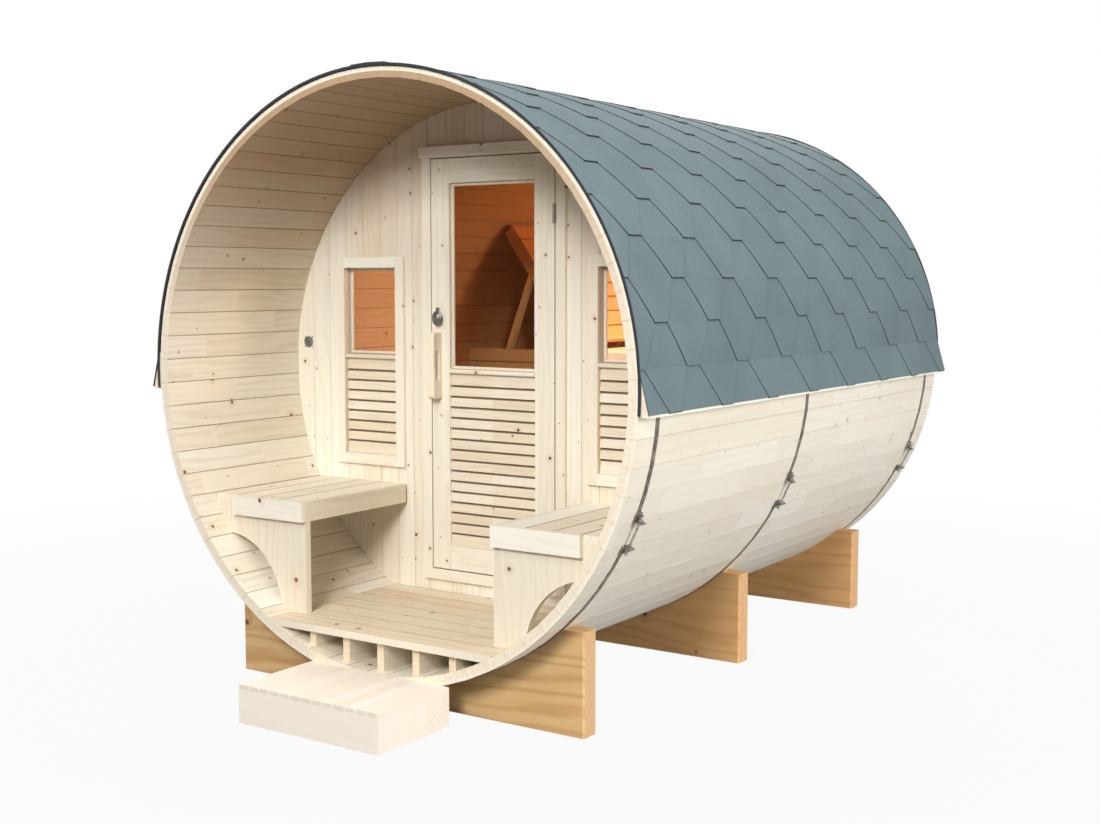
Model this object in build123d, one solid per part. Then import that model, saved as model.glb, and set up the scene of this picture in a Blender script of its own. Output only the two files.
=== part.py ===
"""Outdoor barrel sauna with a porch, built of staves held by steel bands on three cradles.

Millimetres, +Z up. The barrel's axis runs along Y and the porch looks towards -Y.
The origin is on the ground, in the middle of the whole outline.
"""
import os
from math import cos, degrees, radians, sin, sqrt, tan

from build123d import *

# Barrel
barrel_radius = 1000.0
barrel_length = 2505.0
stave_thickness = 35.0
stave_count = 72
stave_groups = 4
stave_ease = 1.5

# Gaps between pieces that are fitted to each other, and between moving pieces
joint_gap = 0.4
seat_gap = 0.3
moving_gap = 5.0
cut_overrun = 20.0

# Cradles
cradle_bed_height = 87.0
cradle_half_width = 735.0
cradle_height = 334.0
cradle_thickness = 72.0
cradle_ease = 6.0
cradle_front_offset = 128.6
cradle_middle_share = 0.47665
cradle_rear_inset = 159.0

# Steel bands and their tighteners
band_width = 21.0
band_thickness = 1.5
band_cradle_gap = 3.0
band_rear_gap = 29.0
lug_joint_shares = (4.5, 5.5)
lug_length = 28.0
lug_width = 34.0
lug_height = 26.0
lug_thickness = 4.0
tie_rod_radius = 4.0
tie_rod_height = 13.0
tie_nut_radius = 8.0
tie_nut_length = 8.0
tie_rod_tail = 16.0
tie_rod_sides = 12

# Roof covering
roof_overhang = 5.0
shingle_thickness = 5.0
shingle_exposure = 134.5
eave_course_width = 140.0
eave_drop = 70.0
eave_reach = 38.0
ridge_cap_half_width = 90.0

# Front wall and the boards of both walls
porch_depth = 671.0
wall_thickness = 45.0
wall_board_width = 88.0
board_ease = 2.0
rear_wall_inset = 45.0

# Floor and joists
floor_rise = 127.0
floor_thickness = 25.0
floor_board_width = 95.0
floor_board_gap = 3.0
joist_count = 5
joist_pitch = 150.0
joist_thickness = 28.0
joist_setback = 30.0

# Door
door_half_width = 272.0
door_sill_height = 90.0
door_head_height = 198.0
door_thickness = 40.0
door_stile_width = 82.0
door_top_rail = 88.0
door_bottom_rail = 88.0
door_mid_rail = 15.0
rail_nose_depth = 7.0
door_panel_height = 644.0
jamb_thickness = 23.0
stop_width = 15.0
glass_thickness = 6.0
door_glass_setback = 22.0
panel_thickness = 10.0

# Casings
casing_width = 40.0
casing_thickness = 14.0
head_nose_depth = 12.0
head_end_reach = 6.0
head_nose_setback = 4.0

# Louvres
louvre_pitch = 39.2
louvre_gap = 9.0
louvre_thickness = 12.0
louvre_setback = 2.0
louvre_tilt = 8.0

# Windows
window_pier_share = 0.3704
window_margin_share = 0.14466
window_drop = 341.0
window_rise = 373.0
window_sill_rise = 28.0
window_rail = 15.0
window_glass_setback = 34.0

# Door furniture
handle_width = 32.0
handle_depth = 50.0
handle_length = 245.0
handle_rise = 850.0
handle_round = 14.0
handle_ease = 3.0
grip_length = 110.0
grip_width = 24.0
grip_depth = 11.0
grip_setback = 10.0
handle_inset = 14.0
latch_gap = 51.0
latch_half_width = 22.0
latch_half_height = 27.0
latch_depth = 24.0
latch_neck_share = 0.45
latch_face_share = 0.6
latch_plate_width = 18.0
latch_plate_length = 52.0
latch_plate_thickness = 4.0
latch_plate_shift = 8.0
hinge_radius = 6.0
hinge_pin_radius = 3.0
hinge_knuckle = 22.0
hinge_knuckle_gap = 0.5
hinge_leaf_depth = 30.0
hinge_inset = 209.0

# Wall vent
vent_margin = 56.0
vent_rise = 84.0
vent_radius = 22.0
vent_rim = 5.0
vent_depth = 8.0
vent_cap_depth = 4.0

# Porch benches
bench_inner = 405.0
bench_rise = 393.0
bench_front = 90.0
bench_board_thickness = 25.0
bench_board_gap = 5.0
bench_boards = 4
apron_height = 69.0
apron_thickness = 20.0
apron_end_setback = 73.0
bench_panel_thickness = 25.0
ledger_height = 45.0
ledger_thickness = 25.0
ledger_inset = 60.0
bench_arch_foot = 31.0
bench_arch_rise = 253.0
bench_arch_bulge = 60.0

# Rear bench with its raised backrest
rear_bench_depth = 615.0
rear_bench_rise = 850.0
rear_slat_width = 72.0
rear_slat_gap = 8.0
rear_slat_thickness = 24.0
rear_apron_board = 55.0
rear_apron_gap = 5.0
rear_apron_boards = 3
rear_apron_thickness = 24.0
rear_bearer_height = 60.0
rear_bearer_thickness = 36.0
backrest_wall_gap = 13.0
backrest_length = 640.0
backrest_angle = 55.0
backrest_rail_height = 40.0
backrest_rail_thickness = 28.0
backrest_rail_inset = 12.0
prop_width = 24.0
prop_reach_length = 360.0
prop_share = 0.62

# Front step
step_half_width = 291.0
step_depth = 345.0
step_height = 127.0
step_offset = 18.0
step_board = 25.0
step_top_thickness = 14.0
step_slat_width = 44.8

# Derived places of the barrel
front_y = step_depth - (step_depth + barrel_length + roof_overhang) / 2
rear_y = front_y + barrel_length
axis_height = barrel_radius + cradle_bed_height
cradle_middle_offset = barrel_length * cradle_middle_share
cradle_rear_offset = barrel_length - cradle_rear_inset - cradle_thickness
stave_angle = 360 / stave_count
half_stave = radians(stave_angle / 2)
stave_outer = barrel_radius * cos(half_stave)
stave_inner = stave_outer - stave_thickness
bore_radius = stave_inner - seat_gap
band_inner_flat = stave_outer + seat_gap
band_outer_flat = band_inner_flat + band_thickness
band_outer = band_outer_flat / cos(half_stave)


def bore_half_width(z):
    """Half of the barrel's inner width at a height."""
    return sqrt(bore_radius ** 2 - (z - axis_height) ** 2)


# Derived places of the floor, walls, door and windows
floor_height = axis_height - bore_radius + floor_rise
floor_bottom = floor_height - floor_thickness
wall_front = front_y + porch_depth
wall_back = wall_front + wall_thickness
rear_wall_back = rear_y - rear_wall_inset
rear_wall_front = rear_wall_back - wall_thickness
casing_front = wall_front - casing_thickness
door_bottom = floor_height + door_sill_height
door_top = axis_height + bore_radius - door_head_height
door_mid_height = door_bottom + door_bottom_rail + door_panel_height
frame_inner = door_half_width + moving_gap
frame_outer = frame_inner + jamb_thickness
frame_bottom = door_bottom - moving_gap
frame_top = door_top + moving_gap
window_bottom = axis_height - window_drop
window_top = axis_height + window_rise
window_sill_height = axis_height + window_sill_rise
window_outer = bore_half_width(window_top + casing_width) * (1 - window_margin_share) - casing_width
window_inner = frame_outer + (window_outer - frame_outer) * window_pier_share

# Derived places of the fittings and benches
handle_centre_height = floor_height + handle_rise
latch_height = handle_centre_height + handle_length / 2 + latch_gap
vent_height = axis_height + vent_rise
vent_distance = bore_half_width(vent_height) - vent_margin
bench_height = floor_height + bench_rise
rear_bench_height = floor_height + rear_bench_rise
backrest_run = backrest_length * cos(radians(backrest_angle))
backrest_climb = backrest_length * sin(radians(backrest_angle))
backrest_hinge = bore_half_width(rear_bench_height + backrest_climb) - backrest_wall_gap - backrest_run
prop_foot = backrest_hinge + prop_reach_length

os.makedirs("parts", exist_ok=True)


def write(node, pieces):
    """Write the solids of one node to its own file."""
    solids = [solid for piece in pieces for solid in piece.solids()]
    shape = solids[0] if len(solids) == 1 else Compound(solids)
    export_step(shape, f"parts/{node}.step")


def along(section, start, end):
    """Extrude a section drawn in (x, z) along Y, from start to end."""
    plane = Plane((0, end, 0), x_dir=(1, 0, 0), z_dir=(0, -1, 0))
    return extrude(plane * section, amount=end - start)


def outline(*points):
    """Closed straight-sided face through the given points."""
    return make_face(Polyline(*points, close=True))


def block(low, high):
    """Rectangular piece between two opposite corners."""
    size = [upper - lower for lower, upper in zip(low, high)]
    middle = [(upper + lower) / 2 for lower, upper in zip(low, high)]
    return Pos(*middle) * Box(*size)


def window_rectangle(x_low, z_low, x_high, z_high):
    """Rectangle in (x, z) between two corners."""
    centre = Pos((x_low + x_high) / 2, (z_low + z_high) / 2)
    return centre * Rectangle(x_high - x_low, z_high - z_low)


def mirrored(pieces):
    """The same pieces on the other side of the barrel."""
    return [mirror(piece, Plane.YZ) for piece in pieces]


def polar(radius, angle):
    """Point in (x, z) at an angle in degrees above the axis level, on the right."""
    turn = radians(angle)
    return radius * cos(turn), axis_height + radius * sin(turn)


def eased_board(x_low, x_high, y_low, y_high):
    """Plan of a vertical board whose four long edges are eased."""
    ease = min(board_ease, (x_high - x_low) / 3)
    return outline(
        (x_low + ease, y_low), (x_high - ease, y_low), (x_high, y_low + ease), (x_high, y_high - ease),
        (x_high - ease, y_high), (x_low + ease, y_high), (x_low, y_high - ease), (x_low, y_low + ease),
    )


bore = Pos(0, axis_height) * RegularPolygon(
    bore_radius, stave_count, major_radius=False, rotation=stave_angle / 2
)


def stave(index):
    """One barrel stave: a tapered bar with eased edges."""
    def half_width(radius):
        return radius * tan(half_stave) - joint_gap / 2

    outer, inner = stave_outer, stave_inner
    right = [
        (half_width(outer) - stave_ease, outer), (half_width(outer - stave_ease), outer - stave_ease),
        (half_width(inner + stave_ease), inner + stave_ease), (half_width(inner) - stave_ease, inner),
    ]
    left = [(-x, radius) for x, radius in reversed(right)]
    section = Pos(0, axis_height) * Rot(0, 0, index * stave_angle - 90) * outline(*right, *left)
    return along(section, front_y, rear_y)


def barrel():
    """The staves, in quarters."""
    group_size = stave_count // stave_groups
    for group, name in enumerate(["right", "top", "left", "bottom"]):
        first = group * group_size - group_size // 2
        write(f"staves_{name}", [stave(first + step) for step in range(group_size)])


def cradle(offset):
    """Plank on edge with the barrel's curve cut into its top and its end edges eased."""
    start = front_y + offset
    plank = along(window_rectangle(-cradle_half_width, 0, cradle_half_width, cradle_height), start,
                  start + cradle_thickness)
    plank = chamfer(plank.edges().filter_by(Axis.Z), cradle_ease)
    seat = Pos(0, axis_height) * Circle(barrel_radius + seat_gap)
    return plank - along(seat, start - cut_overrun, start + cradle_thickness + cut_overrun)


def band_places():
    """Front edge of each steel band, beside its cradle."""
    before = band_cradle_gap + band_width
    return [
        front_y + cradle_front_offset - before,
        front_y + cradle_middle_offset - before,
        front_y + cradle_rear_offset + cradle_thickness + band_rear_gap,
    ]


def band(start):
    """Two strap halves round the staves, open where the tighteners pull them together."""
    turned = stave_angle / 2
    outer = RegularPolygon(band_outer_flat, stave_count, major_radius=False, rotation=turned)
    inner = RegularPolygon(band_inner_flat, stave_count, major_radius=False, rotation=turned)
    reach = barrel_radius + cut_overrun
    upper, lower = [-share * stave_angle for share in lug_joint_shares]
    sector = outline((0, axis_height), polar(reach, upper), polar(reach, lower))
    ring = Pos(0, axis_height) * (outer - inner) - sector - mirror(sector, Plane.YZ)
    return along(ring, start, start + band_width)


def tightener(start):
    """Two angle lugs on the strap's ends with a threaded rod and nuts through them, on the right side."""
    middle_y = start + band_width / 2
    upper, lower = [-share * stave_angle for share in lug_joint_shares]
    centre = Pos(0, middle_y, axis_height)
    seat = Pos(band_outer + seat_gap, 0, 0)
    flange = Box(lug_height, lug_width, lug_thickness, align=(Align.MIN, Align.CENTER, Align.CENTER))
    foot = Box(lug_thickness, lug_width, lug_length, align=(Align.MIN, Align.CENTER, Align.MIN))
    hole_section = RegularPolygon(tie_rod_radius + seat_gap, tie_rod_sides)
    hole = Pos(tie_rod_height, 0, 0) * extrude(hole_section, amount=lug_thickness, both=True)
    bracket = flange + foot - hole
    half_turn = (upper - lower) / 2
    middle = Rot(0, -(upper + lower) / 2, 0)
    pieces = [
        centre * middle * Rot(0, -half_turn, 0) * seat * bracket,
        centre * middle * Rot(0, half_turn, 0) * seat * mirror(bracket, Plane.XY),
    ]
    rod_out = tie_rod_height + seat.position.X
    nut_start = rod_out * tan(radians(half_turn)) + lug_thickness / 2 + seat_gap
    nut_start += tie_nut_radius * sin(radians(half_turn))
    rod_half = nut_start + tie_nut_length + tie_rod_tail
    rod = extrude(RegularPolygon(tie_rod_radius, tie_rod_sides), amount=rod_half, both=True)
    nut = extrude(RegularPolygon(tie_nut_radius, 6), amount=tie_nut_length)
    nuts = [Pos(0, 0, nut_start) * nut, Pos(0, 0, -nut_start - tie_nut_length) * nut]
    pieces.append(centre * middle * Pos(rod_out * cos(radians(half_turn)), 0, 0) * (rod + nuts))
    return pieces


def bands():
    """All steel bands and their tighteners."""
    straps = []
    tighteners = []
    for start in band_places():
        straps.append(band(start))
        right = tightener(start)
        tighteners += right + mirrored(right)
    write("steel_bands", straps)
    write("band_tighteners", tighteners)


def roof_side():
    """Right-hand courses from the eave to the ridge, each lapped over the one below, and the eaves batten."""
    deck_flat = band_outer + seat_gap
    step_angle = degrees(shingle_exposure / barrel_radius)
    first_angle = degrees((eave_course_width - eave_drop) / barrel_radius)
    deck = deck_flat / cos(radians(step_angle) / 2)
    start, end = front_y - roof_overhang, rear_y + roof_overhang
    count = int((90 - first_angle) / step_angle)
    courses = []
    for course in range(count):
        low = first_angle + course * step_angle
        high = low + step_angle
        lifted = deck + shingle_thickness + joint_gap
        section = outline(
            polar(lifted, low), polar(lifted + shingle_thickness, low),
            polar(deck + shingle_thickness, high), polar(deck, high),
        )
        courses.append(along(section, start, end))
    top_x, top_z = polar(deck, first_angle)
    foot_x, foot_z = barrel_radius + eave_reach, axis_height - eave_drop
    slope = (foot_x - top_x) / (top_z - foot_z)
    eave = outline(
        (foot_x, foot_z), (foot_x + shingle_thickness, foot_z),
        polar(deck + shingle_thickness, first_angle), (top_x, top_z),
    )
    courses.append(along(eave, start, end))
    batten_low = foot_z + shingle_thickness
    inner_x = band_outer_flat + seat_gap
    batten_high = top_z - (inner_x - top_x) / slope
    batten_out = foot_x - slope * shingle_thickness - seat_gap
    batten = outline((inner_x, batten_low), (batten_out, batten_low),
                     (inner_x, batten_high - (batten_high - batten_low) * seat_gap / (batten_out - inner_x)))
    return courses, along(batten, front_y, rear_y), deck


def roof():
    """Shingle courses on both sides, the ridge cap and the eaves battens."""
    courses, batten, deck = roof_side()
    cap_low = axis_height + deck + shingle_thickness
    cap = along(
        window_rectangle(-ridge_cap_half_width, cap_low, ridge_cap_half_width, cap_low + shingle_thickness),
        front_y - roof_overhang, rear_y + roof_overhang,
    )
    write("roof_right", courses)
    write("roof_left", mirrored(courses))
    write("roof_ridge", [cap])
    write("eaves_battens", [batten] + mirrored([batten]))


def wall_strip(x_low, x_high, z_low, z_high, y_low, y_high):
    """Vertical wall board cut to the barrel's bore."""
    board = extrude(Pos(0, 0, z_low) * eased_board(x_low, x_high, y_low, y_high), amount=z_high - z_low)
    return board & along(bore, y_low, y_high)


def split_evenly(low, high, width):
    """Even board edges from low to high, about one width apart."""
    count = max(1, round((high - low) / width))
    step = (high - low) / count
    return [(low + place * step + joint_gap / 2, low + (place + 1) * step - joint_gap / 2)
            for place in range(count)]


def front_wall():
    """Boards beside, over and under the doorway, with a window opening on each side."""
    top = axis_height + barrel_radius
    sides = []
    for low, high in split_evenly(frame_outer, window_inner, wall_board_width):
        sides.append(wall_strip(low, high, floor_height, top, wall_front, wall_back))
    for low, high in split_evenly(window_inner, window_outer, wall_board_width):
        sides.append(wall_strip(low, high, floor_height, window_bottom, wall_front, wall_back))
        sides.append(wall_strip(low, high, window_top, top, wall_front, wall_back))
    for low, high in split_evenly(window_outer, bore_radius, wall_board_width):
        sides.append(wall_strip(low, high, floor_height, top, wall_front, wall_back))
    write("front_wall_right", sides)
    write("front_wall_left", mirrored(sides))
    door_columns = split_evenly(-frame_outer, frame_outer, wall_board_width)
    over = [
        wall_strip(low, high, frame_top + jamb_thickness, top, wall_front, wall_back)
        for low, high in door_columns
    ]
    under = [
        wall_strip(low, high, floor_height, frame_bottom - jamb_thickness, wall_front, wall_back)
        for low, high in door_columns
    ]
    write("front_wall_over_door", over)
    write("front_wall_under_door", under)


def back_wall():
    """Closed wall of vertical boards, set a little into the barrel's rear end."""
    top = axis_height + barrel_radius
    bottom = axis_height - barrel_radius
    boards = [
        wall_strip(low, high, bottom, top, rear_wall_front, rear_wall_back)
        for low, high in split_evenly(-bore_radius, bore_radius, wall_board_width)
    ]
    write("back_wall", boards)


def mitred_frame(x_low, z_low, x_high, z_high, width, y_low, y_high):
    """Four mitred strips round a rectangle, outside it by their width."""
    outer = [(x_low - width, z_low - width), (x_high + width, z_low - width),
             (x_high + width, z_high + width), (x_low - width, z_high + width)]
    inner = [(x_low, z_low), (x_high, z_low), (x_high, z_high), (x_low, z_high)]
    trim = joint_gap / 2
    strips = []
    for corner in range(4):
        following = (corner + 1) % 4
        points = [outer[corner], outer[following], inner[following], inner[corner]]
        shift = (trim, 0) if corner % 2 == 0 else (0, trim)
        points = [
            (x + sign * shift[0], z + sign * shift[1])
            for (x, z), sign in zip(points, (1, -1, -1, 1) if corner < 2 else (-1, 1, 1, -1))
        ]
        strips.append(along(outline(*points), y_low, y_high))
    return strips


def louvre(x_low, x_high, z_low, z_high, y_front):
    """Tilted slats between two heights, with a backing board behind them."""
    gaps = int((z_high - z_low - louvre_pitch) / louvre_pitch)
    first_gap = (z_low + z_high - (gaps - 1) * louvre_pitch) / 2
    edges = [z_low + seat_gap + louvre_gap / 2]
    edges += [first_gap + gap * louvre_pitch for gap in range(gaps)]
    edges += [z_high - seat_gap - louvre_gap / 2]
    half_gap = louvre_gap / 2
    lean = tan(radians(louvre_tilt))
    pieces = []
    for low, high in zip(edges, edges[1:]):
        bottom = low + half_gap if low != edges[0] else low - half_gap
        top = high - half_gap if high != edges[-1] else high + half_gap
        back = y_front + louvre_thickness
        side = Plane.YZ * outline(
            (y_front, bottom), (back, bottom), (back, top), (y_front + (top - bottom) * lean, top)
        )
        pieces.append(Pos(x_low, 0, 0) * extrude(side, amount=x_high - x_low))
    back_start = y_front + louvre_thickness + seat_gap
    pieces.append(block((x_low, back_start, z_low + seat_gap),
                        (x_high, back_start + panel_thickness, z_high - seat_gap)))
    return pieces


def windows():
    """Casing, glass and louvre of the window on each side of the door."""
    casing = mitred_frame(window_inner, window_bottom, window_outer, window_top, casing_width,
                          casing_front, wall_front - seat_gap)
    glass_y = wall_front + window_glass_setback
    glass = block((window_inner + seat_gap, glass_y, window_sill_height + window_rail + seat_gap),
                  (window_outer - seat_gap, glass_y + glass_thickness, window_top - seat_gap))
    rail = block((window_inner + seat_gap, wall_front - rail_nose_depth, window_sill_height + seat_gap),
                 (window_outer - seat_gap, wall_back, window_sill_height + window_rail))
    slats = louvre(window_inner + seat_gap, window_outer - seat_gap, window_bottom, window_sill_height,
                   wall_front + louvre_setback)
    write("window_casings", casing + mirrored(casing))
    write("window_glass", [glass] + mirrored([glass]))
    write("window_louvres", slats + [rail] + mirrored(slats + [rail]))


def doorway():
    """Frame, stops and mitred casing that the door closes against."""
    frame = mitred_frame(-frame_inner, frame_bottom, frame_inner, frame_top, jamb_thickness - joint_gap,
                         wall_front, wall_back)
    stop_front = casing_front + door_thickness + moving_gap
    stop_in = frame_inner - stop_width
    stop = mitred_frame(-stop_in, frame_bottom + stop_width, stop_in, frame_top - stop_width,
                        stop_width - seat_gap, stop_front, wall_back)
    casing = mitred_frame(-frame_inner, frame_bottom, frame_inner, frame_top, casing_width,
                          casing_front, wall_front - seat_gap)
    head_end = frame_inner + casing_width + head_end_reach
    head_back = casing_front - seat_gap
    head = block((-head_end, head_back - head_nose_depth, frame_top + head_nose_setback),
                 (head_end, head_back, frame_top + casing_width))
    write("door_frame", frame + stop)
    write("door_casing", casing + [head])


def door_leaf():
    """Stiles, rails, glass and louvre of the door."""
    front, back = casing_front, casing_front + door_thickness
    opening = door_half_width - door_stile_width
    inner = opening - seat_gap
    stiles = [
        block((opening, front, door_bottom), (door_half_width, back, door_top)),
        block((-door_half_width, front, door_bottom), (-opening, back, door_top)),
    ]
    rail_spans = [
        (door_bottom, door_bottom + door_bottom_rail),
        (door_mid_height, door_mid_height + door_mid_rail),
        (door_top - door_top_rail, door_top),
    ]
    rails = [block((-inner, front, low), (inner, back, high)) for low, high in rail_spans]
    nose_low, nose_high = rail_spans[1]
    nose = block((-inner, front - rail_nose_depth, nose_low), (inner, front, nose_high))
    rails[1] = rails[1] + fillet(nose.edges().filter_by(Axis.X).group_by(Axis.Y)[0], rail_nose_depth / 2)
    glass_y = front + door_glass_setback
    glass = block((-inner, glass_y, door_mid_height + door_mid_rail + seat_gap),
                  (inner, glass_y + glass_thickness, door_top - door_top_rail - seat_gap))
    slats = louvre(-inner, inner, door_bottom + door_bottom_rail, door_mid_height, front + louvre_setback)
    write("door_stiles", stiles)
    write("door_rails", rails)
    write("door_glass", [glass])
    write("door_louvre", slats)


def door_handle():
    """Wooden pull on the free stile, with a long finger groove milled into each side."""
    face = casing_front - seat_gap
    middle_x = -door_half_width + handle_inset + handle_width / 2
    nose = face - handle_depth
    grip = block((-handle_width / 2, nose, -handle_length / 2), (handle_width / 2, face, handle_length / 2))
    nose_edges = grip.edges().filter_by(Axis.X).group_by(Axis.Y)[0]
    grip = fillet(nose_edges, handle_round)
    side_edges = grip.faces().sort_by(Axis.Y)[0].edges().filter_by(Axis.Z)
    grip = chamfer(side_edges, handle_ease)
    groove_middle = nose + grip_setback + grip_width / 2
    groove = Plane.YZ * (Pos(groove_middle, 0) * SlotOverall(grip_length, grip_width, rotation=90))
    for side in (-1, 1):
        start = side * (handle_width / 2 - grip_depth)
        cut = extrude(groove, amount=side * (grip_depth + cut_overrun))
        grip = grip - Pos(start, 0, 0) * cut
    write("door_handle", [Pos(middle_x, 0, handle_centre_height) * grip])


def door_latch():
    """Oval turn knob that swells and closes again, on a plate that stands up beside it."""
    face = casing_front - seat_gap
    middle_x = -door_half_width + handle_inset + latch_half_width
    plate_x = middle_x - latch_plate_shift
    plate = block(
        (plate_x - latch_plate_width / 2, face - latch_plate_thickness, latch_height - latch_half_height / 2),
        (plate_x + latch_plate_width / 2, face, latch_height - latch_half_height / 2 + latch_plate_length),
    )
    out = Plane((middle_x, face - latch_plate_thickness - seat_gap, latch_height),
                x_dir=(1, 0, 0), z_dir=(0, -1, 0))
    ovals = [
        out.offset(height) * Ellipse(latch_half_width * share, latch_half_height * share)
        for height, share in (
            (0, latch_neck_share), (latch_depth / 2, 1), (latch_depth, latch_face_share),
        )
    ]
    write("door_latch", [plate, loft(ovals, ruled=True)])


def hinges():
    """Two butt hinges: the frame's knuckles carry the pin and the door's knuckle turns on it."""
    axis_x = (door_half_width + frame_inner) / 2
    axis_y = casing_front - hinge_radius
    edge_gap = seat_gap + joint_gap / 2
    leaf_depth = axis_y + hinge_radius + hinge_leaf_depth
    door_side = []
    frame_side = []
    for height in (door_top - hinge_inset, door_bottom + hinge_inset):
        for place in (-1, 0, 1):
            middle = height + place * (hinge_knuckle + hinge_knuckle_gap)
            low, high = middle - hinge_knuckle / 2, middle + hinge_knuckle / 2
            knuckle = Pos(axis_x, axis_y, middle) * Cylinder(hinge_radius, hinge_knuckle)
            if place == 0:
                leaf = block((door_half_width + edge_gap, axis_y, low), (axis_x - edge_gap, leaf_depth, high))
                bore_hole = Pos(axis_x, axis_y, middle) * Cylinder(hinge_pin_radius + seat_gap, hinge_knuckle)
                door_side.append((knuckle + leaf) - bore_hole)
            else:
                leaf = block((axis_x + edge_gap, axis_y, low), (frame_inner - edge_gap, leaf_depth, high))
                frame_side.append(knuckle + leaf)
        pin_length = 3 * hinge_knuckle
        pin = Pos(axis_x, axis_y, height) * Cylinder(hinge_pin_radius, pin_length)
        frame_side[-2:] = [frame_side[-2] + pin + frame_side[-1]]
    write("door_hinges", door_side)
    write("frame_hinges", frame_side)


def wall_vent():
    """Small round air vent with a raised rim."""
    face = Plane((-vent_distance, wall_front - seat_gap, vent_height), x_dir=(1, 0, 0), z_dir=(0, -1, 0))
    rim = extrude(face * (Circle(vent_radius) - Circle(vent_radius - vent_rim)), amount=vent_depth)
    cap = extrude(face * Circle(vent_radius - vent_rim), amount=vent_cap_depth)
    write("wall_vent", [rim + cap])


def floor():
    """Cross boards of the porch and the cabin on joists along the barrel."""
    def boards(start, end):
        top = floor_height - seat_gap
        section = bore & window_rectangle(-barrel_radius, floor_bottom, barrel_radius, top)
        return [along(section, low + floor_board_gap / 2, high - floor_board_gap / 2)
                for low, high in split_evenly(start, end, floor_board_width)]

    write("porch_floor", boards(front_y, wall_front))
    write("cabin_floor", boards(wall_front, rear_wall_front))
    joists = []
    for place in range(joist_count):
        middle = (place - (joist_count - 1) / 2) * joist_pitch
        strip = window_rectangle(middle - joist_thickness / 2, axis_height - barrel_radius,
                                 middle + joist_thickness / 2, floor_bottom - seat_gap)
        joists.append(along(strip & bore, front_y + joist_setback, rear_wall_front - seat_gap))
    write("floor_joists", joists)


def porch_bench():
    """Seat boards with an apron round them, and a front panel with an arched cut-out, on the right."""
    front = front_y + bench_front
    seat_low = bench_height - bench_board_thickness
    apron_low = bench_height - apron_height
    panel_front = front + apron_thickness + seat_gap
    seat_inner = bench_inner + apron_thickness + joint_gap
    back = wall_front - seat_gap
    apron_end = bore_half_width(apron_low) - apron_end_setback
    front_apron = block((bench_inner, front, apron_low), (apron_end, front + apron_thickness, bench_height))
    aisle_apron = block((bench_inner, panel_front, apron_low),
                        (bench_inner + apron_thickness, back - casing_thickness, bench_height))
    seat_outer = bore_half_width(seat_low)
    edges = split_evenly(seat_inner, seat_outer, (seat_outer - seat_inner) / bench_boards)
    seat = []
    for low, high in edges:
        board = window_rectangle(low, seat_low, high - bench_board_gap, bench_height)
        seat.append(along(board & bore, panel_front, back))
    panel = bore & window_rectangle(bench_inner, floor_height, barrel_radius, seat_low - seat_gap)
    arch_foot, arch_head = floor_height + bench_arch_foot, floor_height + bench_arch_rise
    arch_low = (bore_half_width(arch_foot), arch_foot)
    arch_high = (bore_half_width(arch_head), arch_head)
    chord_x, chord_z = arch_high[0] - arch_low[0], arch_high[1] - arch_low[1]
    chord = sqrt(chord_x ** 2 + chord_z ** 2)
    crown = ((arch_low[0] + arch_high[0]) / 2 - bench_arch_bulge * chord_z / chord,
             (arch_low[1] + arch_high[1]) / 2 + bench_arch_bulge * chord_x / chord)
    corner = (arch_high[0], arch_low[1])
    arch = make_face([ThreePointArc(arch_low, crown, arch_high), Line(arch_high, corner),
                      Line(corner, arch_low)])
    panel_piece = along(panel - arch, panel_front, panel_front + bench_panel_thickness)
    notch = block((bench_inner - cut_overrun, panel_front - cut_overrun, apron_low - seat_gap),
                  (seat_inner, panel_front + bench_panel_thickness + cut_overrun, seat_low))
    ledger_high = seat_low - seat_gap
    ledger = along(bore & window_rectangle(bench_inner + ledger_inset, ledger_high - ledger_height,
                                           barrel_radius, ledger_high), back - ledger_thickness, back)
    return seat + [front_apron, aisle_apron, ledger], panel_piece - notch


def porch_benches():
    """A bench on each side of the porch."""
    seat, panel = porch_bench()
    write("porch_bench_right_seat", seat)
    write("porch_bench_left_seat", mirrored(seat))
    write("porch_bench_right_panel", [panel])
    write("porch_bench_left_panel", mirrored([panel]))


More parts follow.
